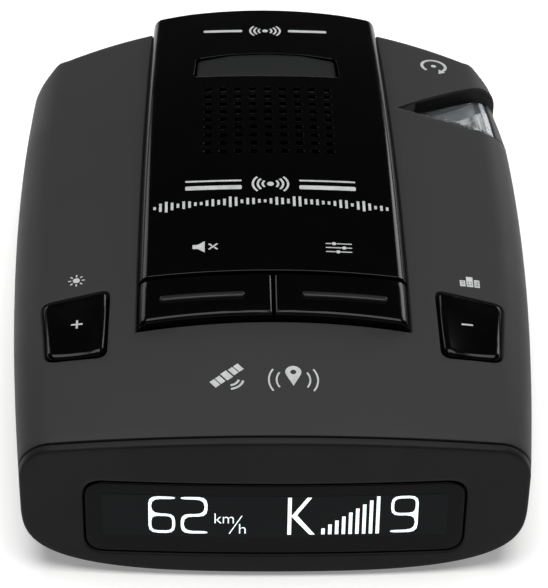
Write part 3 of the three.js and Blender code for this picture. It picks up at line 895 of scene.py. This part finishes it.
def on_window(outline, holes=(), lift=0.08):
    """A thin lit shape on the display window."""
    bm = flat_plate(outline, holes, depth=INK_DEPTH)
    xs = [x for x, _ in outline]
    lattice(bm, stations(min(xs), max(xs), 3.0)[1:-1])
    return wrap(bm, lambda x, z, w: Vector((x, face_line(x, z) + WINDOW_SINK - lift - w, z)))


def digit(kind, x, w):
    """A rounded block digit for the display, w wide: 2, 6 or 9."""
    h, s = DIGIT_HEIGHT, DIGIT_STROKE
    low, high = h / 2 - s / 2, h / 2 + s / 2
    six = [(0, 0), (w, 0), (w, high), (s, high), (s, h - s), (w, h - s), (w, h), (0, h)]
    hole = [(s, s), (w - s, s), (w - s, low), (s, low)]
    if kind == "2":
        outer = [(0, 0), (w, 0), (w, s), (s, s), (s, low), (w, low), (w, h), (0, h)]
        outer += [(0, h - s), (w - s, h - s), (w - s, high), (0, high)]
        holes = []
    elif kind == "6":
        outer, holes = six, [hole]
    else:
        outer = [(w - a, h - b) for a, b in six]
        holes = [[(w - a, h - b) for a, b in hole]]
    outer = moved(rounded(outer, 1.3, 3), x, DIGIT_Z)
    return on_window(outer, [moved(rounded(loop, 0.9, 3), x, DIGIT_Z) for loop in holes])


def lettering(text, x, z, height, width):
    """Plain unit letters for the display, from Blender's own font, fitted to a box."""
    curve = bpy.data.curves.new("letters", "FONT")
    curve.body = text
    curve.offset = -0.012
    carrier = add_object("letters", curve)
    graph = bpy.context.evaluated_depsgraph_get()
    mesh = bpy.data.meshes.new_from_object(carrier.evaluated_get(graph))
    bm = bmesh.new()
    bm.from_mesh(mesh)
    bpy.data.objects.remove(carrier)
    bpy.data.curves.remove(curve)
    bpy.data.meshes.remove(mesh)
    bmesh.ops.remove_doubles(bm, verts=bm.verts, dist=1e-4)
    bmesh.ops.solidify(bm, geom=bm.faces[:], thickness=0.02)
    lo = [min(v.co[i] for v in bm.verts) for i in range(3)]
    hi = [max(v.co[i] for v in bm.verts) for i in range(3)]
    for v in bm.verts:
        across, up, deep = ((v.co[i] - lo[i]) / (hi[i] - lo[i]) for i in range(3))
        px, pz = x + width * across, z + height * up
        v.co = (px, face_line(px, pz) + 0.02 + INK_DEPTH * deep, pz)
    return bm


# ------------------------------------------------------------------ centre panel and keys
EDGE_LINES = [STRIP - d for d in (0.24, 0.36, 0.5, 0.68, 0.9, 1.15, 1.45, 1.8, 2.4, 4.0, 5.7)]
STRIP_LINES = sorted([-x for x in EDGE_LINES] + EDGE_LINES + stations(-12.4, 12.4, 2.48))


HOLE_COLUMNS = [-9.5 + 2.375 * i for i in range(9)]
HOLE_ROWS = [8.8 + 2.25 * i for i in range(9)]
HOLE_RADIUS = 0.64
RIB_X, RIB_Y = 10.4, -25.75
RIB_HALF, RIB_HALF_WIDTH = 6.2, 0.55
RELEASE_DEPTH = 3.0
RELEASE_SINK = 1.75
BUTTON_DEPTH = 3.4
BUTTON_DISH = 0.55


def fitted(x, y):
    """The real X of a point drawn on the straight strip."""
    if abs(x) <= STRAIGHT:
        return x
    share = (abs(x) - STRAIGHT) / (STRIP - STRAIGHT)
    return math.copysign(STRAIGHT + share * (panel_half(y) - GAP - STRAIGHT), x)


def strip_place(rise, depth):
    """Moves a plate drawn on the strip to the raised strip along the middle of the case."""

    def place(x, y, w):
        edge = round_drop(STRIP - abs(x), PANEL_EDGE) if w > -depth + 0.01 else 0.0
        real = fitted(x, y)
        return Vector((real, y, top_height(real, y) + rise - edge + w))

    return place


def centre_panel():
    """The gloss panel with its sound holes and the opening for the release key."""
    outline = [(x, key_rear(x) + GAP) for x in stations(-STRIP, STRIP, 2.5)]
    outline += [(x, panel_rear(x)) for x in stations(STRIP, -STRIP, 2.5)]
    holes = [rounded(RELEASE_CORNERS, 0.8)]
    holes += [ring(x, y, HOLE_RADIUS, 16) for x in HOLE_COLUMNS for y in HOLE_ROWS]
    bm = flat_plate(outline, holes, depth=PANEL_DEPTH, rim=0.14, steps=3)
    lattice(bm, STRIP_LINES, stations(-19.3, 53.3, 2.2))
    return wrap(bm, strip_place(PANEL_RAISE, PANEL_DEPTH))


def centre_key(turn):
    """One of the two wide keys; turn is -1 for the left one."""
    inner, outer = 0.14, STRIP
    outline = [(x, key_front(x) + GAP) for x in stations(inner, outer, 2.0)]
    outline += [(x, key_rear(x)) for x in stations(outer, inner, 2.0)]
    if turn < 0:
        outline = mirrored(outline)
    bm = flat_plate(outline, depth=KEY_DEPTH, rim=0.6, steps=6)
    lines = [x for x in STRIP_LINES if inner + 0.6 < x * turn]
    lattice(bm, lines, stations(-28.9, -21.6, 1.8))
    return wrap(bm, strip_place(KEY_RAISE, KEY_DEPTH))


def key_rib(turn):
    """The raised bar that a thumb finds in the dark."""
    middle, low, high = turn * RIB_X, RIB_Y - RIB_HALF_WIDTH, RIB_Y + RIB_HALF_WIDTH
    outline = box_outline(middle - RIB_HALF, low, middle + RIB_HALF, high, 0.5, 5)
    bm = flat_plate(outline, depth=0.9, rim=0.3, steps=4)
    lattice(bm, stations(middle - 5, middle + 5, 2.0))

    def place(x, y, w):
        bowed = y - KEY_REAR_BOW * (x * x - 108)  # bowed like the key's rear edge
        return Vector((x, bowed, top_height(x, bowed) + PANEL_RAISE + 0.28 + w))

    return wrap(bm, place)


def release_ramp(y):
    """The key's top: level with its neighbours at the rear and sunk at the front."""
    return KEY_RAISE - RELEASE_SINK * clamp((38 - y) / 6.8)


def release_key():
    """The key in the panel's rear recess, with a ramp for the thumb."""
    outline = rounded(drawn_in(RELEASE_CORNERS, 0.22), 0.7)
    bm = flat_plate(outline, depth=RELEASE_DEPTH, rim=0.35, steps=4)
    lattice(bm, stations(-11, 11, 1.6), stations(31.8, 38.0, 0.6))

    def place(x, y, w):
        if w < -RELEASE_DEPTH + 0.1:
            return Vector((x, y, top_height(x, y) - 3.4))
        return Vector((x, y, top_height(x, y) + release_ramp(y) + w))

    return wrap(bm, place)


def side_button(corners):
    """A dished rocker-shaped button in the cover."""
    outline = rounded(drawn_in(corners, 0.32), 1.45, 8)
    bm = flat_plate(outline, depth=BUTTON_DEPTH, rim=1.0, steps=7)
    xs, ys = [p[0] for p in corners], [p[1] for p in corners]
    lattice(bm, *(stations(min(side) + 0.9, max(side) - 0.9, 0.8) for side in (xs, ys)))
    cx, cy = (min(xs) + max(xs)) / 2, sum(ys) / 4
    reach_x, reach_y = (max(xs) - min(xs)) / 2, (max(ys) - min(ys)) / 2

    def place(x, y, w):
        if w < -BUTTON_DEPTH + 0.1:
            return off_skin(x, y, w)
        away = min(1.0, ((x - cx) / reach_x) ** 2 + ((y - cy) / reach_y) ** 2)
        return off_skin(x, y, w + 0.5 - BUTTON_DISH * (1 - away))

    return wrap(bm, place)


# ------------------------------------------------------------------ lens
LENS_INNER = [(23.5, 25.0), (33.9, 20.75), (36.5, 20.4), (36.5, 35.0), (35.3, 34.5)]
LENS_INNER += [(30.9, 31.9), (24.0, 27.3)]


def lens():
    """The clear corner lens, sunk in the cover's notch."""
    bm = flat_plate(rounded(LENS_INNER, 0.35, 3), depth=1.5, rim=0.08, steps=2)
    lattice(bm, stations(24.2, 36, 1.0), stations(21.2, 34, 1.0))
    return wrap(bm, lambda u, v, w: on_ramp(u, v, w - 0.2))


def lens_wall():
    """The lens's ribbed outer wall, whose bright strip of caught light is a painted highlight in
    its colour.
    """
    parts = []
    for left, right, drop in ((35.15, 35.5, 0.0), (35.6, 36.0, 0.1), (36.1, 36.5, 0.25)):
        rear = 34.2 if left < 35.5 else 34.6
        bm = flat_plate(box_outline(left, 20.6, right, rear, 0.12, 3), depth=0.8, rim=0.08, steps=2)
        lattice(bm, ys=stations(21.5, 34, 1.5))
        parts.append(wrap(bm, lambda u, v, w, drop=drop: on_ramp(u, v, w - 0.02 - drop)))
    return join(*parts)


def lens_tray():
    """The tray that lies under the lens, made bright by painted light in its colour."""
    bm = flat_plate(rounded(drawn_in(LENS_INNER, 0.25), 0.35, 3), depth=0.4)
    lattice(bm, stations(24.2, 36, 1.0), stations(21.2, 34, 1.0))

    def place(u, v, w):
        dish = 1.0 - min(1.0, ((u - 30.5) / 7) ** 2 + ((v - 27) / 7) ** 2)
        return on_ramp(u, v, w - 1.9 - 1.1 * max(0.0, dish))

    return wrap(bm, place)


def lens_prism():
    """The small three-sided light guide, its bar and its pin, set in the lens's tray."""
    guide = rounded([(31.0, 22.2), (34.1, 22.1), (34.0, 27.0)], 0.25, 3)
    window = [(31.9, 22.7), (33.7, 22.7), (33.65, 25.6)]
    rail = flat_plate(box_outline(34.35, 22.6, 34.6, 27.4, 0.1, 2), depth=1.2)
    parts = [
        flat_plate(guide, [window], depth=1.2),
        lattice(rail, ys=stations(23.5, 26.5, 1.0)),
        flat_plate(ring(34.4, 21.5, 0.28, 16), depth=1.2, rim=0.12),
    ]
    sink = 1.72  # down to the tray
    return join(*[wrap(bm, lambda u, v, w: on_ramp(u, v, w - sink)) for bm in parts])


def rear_lens():
    """The rear laser window, set in the rear wall."""
    bm = flat_plate(box_outline(-26.1, 5.7, -13.7, 11.3, 1.2), depth=2.2, rim=0.25)
    lattice(bm, stations(-25, -15, 1.5), stations(7, 10, 1.5))
    return wrap(bm, lambda x, z, w: Vector((x, rear_line(x) - 0.15 + w, z)))


# ------------------------------------------------------------------ printed marks
# A mark is drawn about its own middle, as shapes that are each an outline and its holes.
COVER_INK = 0.035
PANEL_INK = PANEL_RAISE + 0.03


def printed(shapes, x=0.0, y=0.0, scale=1.0, turn=0.0, height=PANEL_INK):
    """A mark printed on the centre panel or, at the cover's height, on the cover."""
    parts = []
    for shape in shapes:
        outline, *holes = [moved(loop, x, y, scale, turn) for loop in shape]
        bm = flat_plate(outline, holes, depth=INK_DEPTH)
        lattice(bm, *(stations(min(side), max(side), 1.6)[1:-1] for side in zip(*outline)))
        parts.append(wrap(bm, lambda a, b, w: Vector((a, b, top_height(a, b) + height + w))))
    return parts


def bar(x0, y0, x1, y1, width):
    """A straight round-cornered stroke between two points."""
    along = Vector((x1 - x0, y1 - y0))
    across = Vector((-along.y, along.x)).normalized() * width / 2
    a, b = Vector((x0, y0)), Vector((x1, y1))
    corners = [a - across, b - across, b + across, a + across]
    return rounded([tuple(c) for c in corners], width * 0.3, 2)


def muted_speaker():
    """A loudspeaker with a cross, for the mute key."""
    cone = [(-1.5, -0.35), (-0.9, -0.35), (-0.1, -1.0), (-0.1, 1.0), (-0.9, 0.35), (-1.5, 0.35)]
    cross = ((0.35, -0.5, 1.35, 0.5), (0.35, 0.5, 0.72, 0.13), (0.98, -0.13, 1.35, -0.5))
    return [[rounded(cone, 0.1, 2)], *([bar(*ends, 0.22)] for ends in cross)]


def sliders():
    """Three setting sliders, for the program key."""
    shapes = []
    for row, knob in ((0.8, -0.6), (0.0, 0.7), (-0.8, -0.1)):
        for start, stop in ((-1.7, knob - 0.34), (knob + 0.34, 1.7)):
            shapes.append([bar(start, row, stop, row, 0.18)])
        shapes.append([ring(knob, row, 0.3, 16)])
    return shapes


def sun():
    """A small sun, for display brightness."""
    ray = bar(0.62, 0, 1.0, 0, 0.17)
    return [[ring(0, 0, 0.42, 20)], *([moved(ray, 0, 0, 1, k * math.pi / 4)] for k in range(8))]


def skyline():
    """Three buildings, for city mode."""
    shapes = []
    for left, width, height in ((-1.35, 0.75, 1.2), (-0.45, 0.9, 2.0), (0.6, 0.75, 1.5)):
        panes = [
            box_outline(a, b, a + 0.13, b + 0.2)
            for a in (left + 0.2, left + width - 0.33)
            for b in (-0.6, -0.15)
        ]
        shapes.append([box_outline(left, -1, left + width, height - 1), *panes])
    return shapes


def turning_arrow():
    """An almost closed ring with an arrowhead: cover all round."""
    band = arc_band(0, 0, 0.78, 1.0, math.radians(-60), math.radians(290), 36)
    return [[band], [[(0.30, -1.12), (0.82, -0.82), (0.36, -0.42)]], [ring(0, 0, 0.2, 16)]]


def satellite():
    """A satellite with two wings and its beam."""
    shapes = [[box_outline(-0.28, -0.42, 0.28, 0.42)]]
    for start in (-1.38, -0.86, 0.42, 0.94):
        shapes.append([box_outline(start, -0.36, start + 0.44, 0.36)])
    for radius in (0.7, 1.05):
        start, sweep = math.radians(235), math.radians(70)
        shapes.append([arc_band(0.0, -0.35, radius - 0.09, radius + 0.09, start, sweep)])
    return shapes


def place_pin():
    """A map pin."""
    head = arc_band(0, 0.35, 0.0, 0.72, math.radians(-25), math.radians(230), 20)[:21]
    return [[[*head, (0.0, -1.25)], ring(0, 0.35, 0.27, 14)]]


def waves(radii, width, sweep, sides):
    """Arcs that spread to both sides of a mark."""
    return [
        [arc_band(0, 0, r - width, r + width, math.radians(start), math.radians(sweep), sides)]
        for r in radii
        for start in (-sweep / 2, 180 - sweep / 2)
    ]


def both_sides(x0, y0, x1, y1, radius, steps):
    """The same rule to the left and to the right."""
    return [[box_outline(a, y0, b, y1, radius, steps)] for a, b in ((x0, x1), (-x1, -x0))]


def sound_wave():
    """A bowed row of bars of uneven height."""
    shapes = []
    for i in range(41):
        x = -17.6 + i * 0.88
        y = -4.3 - 0.0035 * x * x
        tall = 0.35 + 0.95 * abs(math.sin(i * 0.83) * math.sin(i * 0.29 + 0.9))
        shapes.append([box_outline(x - 0.2, y - tall, x + 0.2, y + tall)])
    return shapes


def printed_marks():
    """Every mark on the panel and the cover, as one mesh."""
    sweep = [[ring(0, 0, 0.42, 20)], *waves((0.95, 1.55, 2.15), 0.14, 84, 18)]
    rules = both_sides(4.4, -1.3, 13.0, -0.3, 0.25, 3) + both_sides(4.4, 0.7, 13.0, 1.1, 0.15, 2)
    on_panel = [
        (muted_speaker(), -9.9, -15.0, 1.3),
        (sliders(), 9.9, -15.2, 1.15),
        (sweep, 0, 0, 1.25),
        (rules + sound_wave(),),
        (sweep, 0, 46.4, 1.15),
        (both_sides(3.8, 46.0, 10.2, 46.8, 0.25, 3),),
    ]
    on_cover = [
        (sun(), -29.0, -18.9, 1.25),
        (skyline(), 29.3, -19.0, 1.1),
        (satellite(), -6.9, -40.0, 1.9, math.radians(40)),
        (place_pin(), 2.6, -40.0, 1.6),
        (waves((2.4, 3.5), 0.13, 70, 14), 2.6, -40.9),
        (turning_arrow(), 27.8, 39.9, 2.2),
    ]
    parts = [part for mark in on_panel for part in printed(*mark)]
    parts += [part for mark in on_cover for part in printed(*mark, height=COVER_INK)]
    return join(*parts)


def button_mark(x, plus):
    """The plus or the minus in a side button."""
    strokes = [(-0.85, 0, 0.85, 0)]
    if plus:
        strokes += [(0, 0.16, 0, 0.85), (0, -0.85, 0, -0.16)]
    parts = [flat_plate(moved(bar(*ends, 0.3), x, -28.3), depth=INK_DEPTH) for ends in strokes]
    return join(*[wrap(bm, lambda a, b, w: off_skin(a, b, w + 0.085)) for bm in parts])


# ------------------------------------------------------------------ settings
class DetectorFinish(bpy.types.PropertyGroup):
    cover_colour: bpy.props.FloatVectorProperty(
        name="Cover colour",
        description="Colour of the soft-touch paint",
        subtype="COLOR",
        default=from_hex(COVER_COLOUR)[:3],
        min=0,
        max=1,
    )
    panel_colour: bpy.props.FloatVectorProperty(
        name="Panel colour",
        description="Colour of the polished centre panel and keys",
        subtype="COLOR",
        default=from_hex(PANEL_COLOUR)[:3],
        min=0,
        max=1,
    )
    display_light: bpy.props.FloatProperty(
        name="Display light",
        description="Strength of the lit display segments",
        default=0.8,
        min=0,
    )


class StudioSettings(bpy.types.PropertyGroup):
    key_power: bpy.props.FloatProperty(
        name="Key light", description="Power of the overhead softbox", default=17.0, unit="POWER"
    )
    fill_power: bpy.props.FloatProperty(
        name="Fill light", description="Power of the front fill", default=2.0, unit="POWER"
    )
    camera_distance: bpy.props.FloatProperty(
        name="Camera distance",
        description="From the camera to its target",
        default=0.430,
        unit="LENGTH",
    )


# ------------------------------------------------------------------ operators
KEYS = ("dim", "city", "mute", "prog")
INNER_LOOKS = {
    "epoxy": ["display_frame", "oled_panel", "processor_chip", "speaker", "backup_cell"]
    + ["side_laser_sensor", "rear_laser_sensor", "power_jack"]
    + [f"{key}_switch" for key in KEYS],
    "rubber": ["speaker_gasket"] + [f"{key}_plunger" for key in KEYS],
    "steel": ["release_latch", "release_spring_1", "release_spring_2", "usb_port"]
    + ["lens_reflector", "rf_shield"]
    + [f"case_screw_{i}" for i in range(1, 5)],
    "board": ["main_board"],
    "zinc": ["horn_antenna"],
    "ceramic": ["gps_antenna"],
    "polyimide": ["display_flex"],
    "gauze": ["grille_gauze"],
    "label": ["rating_label"],
    "textured_abs": ["bracket_socket"],
}


class DETECTOR_OT_finishes(bpy.types.Operator):
    """Makes the materials and gives the parts that keep their own shape theirs."""

    bl_idname = "detector.finishes"
    bl_label = "Finishes"

    def execute(self, context):
        make_materials(context.scene.detector_finish)
        for finish, names in INNER_LOOKS.items():
            for name in names:
                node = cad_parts[name]
                node.data.materials.clear()
                node.data.materials.append(MATERIALS[finish])
        return {"FINISHED"}


class DETECTOR_OT_case(bpy.types.Operator):
    """Adds the cover, the bed under the centre panel, the lower case and the bezel."""

    bl_idname = "detector.case"
    bl_label = "Case"

    def execute(self, context):
        finish_piece("cover", cover(), "soft_touch", ["upper_case"])
        finish_piece("panel_bed", panel_bed(), "textured_abs")
        # The seam strip is painted shadow: a black sheet where the gap between cover and bezel lies
        # in shade.
        finish_piece("seam_shadow_strip", seam_shadow_strip(), "black_abs_and_seam_shadow")
        finish_piece("lens_pocket", lens_pocket(), "black_abs_and_seam_shadow")
        lower_case()
        bosses = join(*[boss(x, y) for x, y in SCREWS])
        finish_piece("screw_bosses", bosses, "textured_abs")
        finish_piece("bezel", bezel(), "textured_abs", ["front_bezel"])
        return {"FINISHED"}


class DETECTOR_OT_display(bpy.types.Operator):
    """Adds the display window and what it shows."""

    bl_idname = "detector.display"
    bl_label = "Display"

    def execute(self, context):
        plate = window_plate()
        finish_piece("smoked_window", plate, "smoked", ["display_window"])
        screen = on_window(box_outline(-24.6, 7.4, 24.6, 14.8, 0.25, 2), lift=0.04)
        finish_piece("lit_screen", screen, "screen")
        parts = [
            digit("6", -18.0, 3.8),
            digit("2", -13.4, 3.8),
            digit("9", 16.5, 3.9),
            lettering("km", -8.6, 9.95, 1.75, 2.75),
            lettering("h", -5.1, 8.1, 1.7, 0.95),
            on_window(bar(-6.5, 8.0, -4.7, 11.3, 0.14)),
            lettering("K", 1.8, 7.9, 6.7, 3.9),
        ]
        for i in range(9):
            left = 6.65 + i * 0.97
            parts.append(on_window(box_outline(left, 7.9, left + 0.5, 8.95 + i * 0.71)))
        finish_piece("display_segments", join(*parts), "oled")
        return {"FINISHED"}


class DETECTOR_OT_keys(bpy.types.Operator):
    """Adds the centre panel, the keys, the side buttons and their printed marks."""

    bl_idname = "detector.keys"
    bl_label = "Panel and keys"

    def execute(self, context):
        gloss = "piano_black"
        finish_piece("gloss_panel", centre_panel(), gloss, ["centre_panel"], crease=12)
        for name, turn in (("mute", -1), ("prog", 1)):
            body = f"{name}_key_body"
            finish_piece(f"{name}_key_cap", centre_key(turn), gloss, [f"{name}_key"], body)
            finish_piece(f"{name}_key_rib", key_rib(turn), "satin_black", body=body)
        for name, corners, mark in (
            ("dim", DIM_CORNERS, button_mark(-28.6, plus=True)),
            ("city", mirrored(DIM_CORNERS), button_mark(28.3, plus=False)),
        ):
            body = f"{name}_button_body"
            cap = side_button(corners)
            finish_piece(f"{name}_button_cap", cap, gloss, [f"{name}_button"], body)
            finish_piece(f"{name}_button_mark", mark, "ink", body=body)
        cap, body = release_key(), "release_key_body"
        finish_piece("release_key_cap", cap, "satin_black", ["release_key"], body)
        finish_piece("printed_marks", printed_marks(), "ink")
        return {"FINISHED"}


class DETECTOR_OT_optics(bpy.types.Operator):
    """Adds the corner lens with its light guide, and the rear lens."""

    bl_idname = "detector.optics"
    bl_label = "Lenses"

    def execute(self, context):
        finish_piece("corner_lens", lens(), "clear", ["side_lens"])
        # The lens wall and the light guide are pale as a painted highlight, for the light caught by
        # their clear edges.
        finish_piece("lens_wall", lens_wall(), "lit_edge")
        # The tray's pale colour is painted light, for the light that the lens gathers on to it.
        finish_piece("lens_tray", lens_tray(), "tray")
        finish_piece("light_guide", lens_prism(), "lit_edge")
        finish_piece("rear_lens", rear_lens(), "infrared", ["rear_laser_lens"])
        return {"FINISHED"}


class DETECTOR_OT_underside(bpy.types.Operator):
    """Adds the rubber feet."""

    bl_idname = "detector.underside"
    bl_label = "Feet"

    def execute(self, context):
        profile = [(0, 0), (3.9, 0), (4.45, 0.15), (4.75, 0.55), (4.8, 1.9), (0, 1.9)]
        for i, (x, y) in enumerate(FEET, 1):
            foot = lathe(profile, (x, y, 0))
            finish_piece(f"foot_{i}", foot, "rubber", [f"rubber_foot_{i}"])
        return {"FINISHED"}


CAMERA_ANGLES = (-1.983, 40.987, 1.385)  # azimuth, elevation and roll
CAMERA_TARGET = (0.7255, -6.371, 12.0)
FOCAL_LENGTH = 170.05


class DETECTOR_OT_stage(bpy.types.Operator):
    """Adds the floor, the lights and the camera."""

    bl_idname = "detector.stage"
    bl_label = "Studio"

    def execute(self, context):
        settings = context.scene.detector_studio
        bm = bmesh.new()
        bmesh.ops.create_grid(bm, x_segments=1, y_segments=1, size=4)
        floor = add_object("studio_floor", to_mesh(bm, "studio_floor"))
        floor.data.materials.append(MATERIALS["opal"])
        for name, power, size, place, aim in (
            ("key_softbox", settings.key_power, 1.0, (0.0, -0.02, 1.15), (0, 0, 0)),
            ("front_fill", settings.fill_power * 0.15, 0.7, (0.0, -1.0, 0.45), (0, -0.03, 0.01)),
            ("left_softbox", settings.fill_power, 0.5, (-0.8, 0.95, 0.45), (0, 0, 0.01)),
            ("right_softbox", settings.fill_power * 2, 0.5, (0.8, 0.95, 0.45), (0, 0, 0.01)),
        ):
            light = bpy.data.lights.new(name, "AREA")
            light.energy = power
            light.size = size
            lamp = add_object(name, light)
            lamp.location = place
            lamp.rotation_mode = "QUATERNION"
            lamp.rotation_quaternion = (Vector(aim) - Vector(place)).to_track_quat("-Z", "Y")
        world = bpy.data.worlds.new("studio_air")
        world.use_nodes = True
        world.node_tree.nodes["Background"].inputs["Color"].default_value = (1, 1, 1, 1)
        world.node_tree.nodes["Background"].inputs["Strength"].default_value = 0.04
        context.scene.world = world
        context.scene.view_settings.view_transform = "Standard"
        self.camera(context, settings.camera_distance)
        return {"FINISHED"}

    def camera(self, context, distance):
        azimuth, elevation, roll = (math.radians(angle) for angle in CAMERA_ANGLES)
        level = math.cos(elevation)
        back = Vector(
            (math.sin(azimuth) * level, -math.cos(azimuth) * level, math.sin(elevation))
        )
        right = Vector((math.cos(azimuth), math.sin(azimuth), 0))
        up = back.cross(right)
        side = right * math.cos(roll) + up * math.sin(roll)
        above = up * math.cos(roll) - right * math.sin(roll)
        data = bpy.data.cameras.new("camera")
        data.lens = FOCAL_LENGTH
        data.clip_start, data.clip_end = 0.01, 20
        camera = add_object("camera", data)
        turned = Matrix((side, above, back)).transposed().to_4x4()
        place = Vector(CAMERA_TARGET) * MM + back * distance
        camera.matrix_world = Matrix.Translation(place) @ turned
        context.scene.camera = camera


class DETECTOR_PT_panel(bpy.types.Panel):
    """Lists the detector's settings and steps."""

    bl_label = "Radar detector"
    bl_idname = "DETECTOR_PT_panel"
    bl_space_type = "VIEW_3D"
    bl_region_type = "UI"
    bl_category = "Detector"

    def draw(self, context):
        for owner in (context.scene.detector_finish, context.scene.detector_studio):
            for name in owner.__annotations__:
                self.layout.prop(owner, name)
        for step in STEPS:
            self.layout.operator(step.bl_idname)


STEPS = (
    DETECTOR_OT_finishes,
    DETECTOR_OT_case,
    DETECTOR_OT_display,
    DETECTOR_OT_keys,
    DETECTOR_OT_optics,
    DETECTOR_OT_underside,
    DETECTOR_OT_stage,
)
CLASSES = (DetectorFinish, StudioSettings, *STEPS, DETECTOR_PT_panel)


def register():
    for item in CLASSES:
        bpy.utils.register_class(item)
    bpy.types.Scene.detector_finish = bpy.props.PointerProperty(type=DetectorFinish)
    bpy.types.Scene.detector_studio = bpy.props.PointerProperty(type=StudioSettings)


def unregister():
    del bpy.types.Scene.detector_studio
    del bpy.types.Scene.detector_finish
    for item in reversed(CLASSES):
        bpy.utils.unregister_class(item)


def main():
    register()
    for step in STEPS:
        space, name = step.bl_idname.split(".")
        getattr(getattr(bpy.ops, space), name)()


if __name__ == "__main__":
    main()
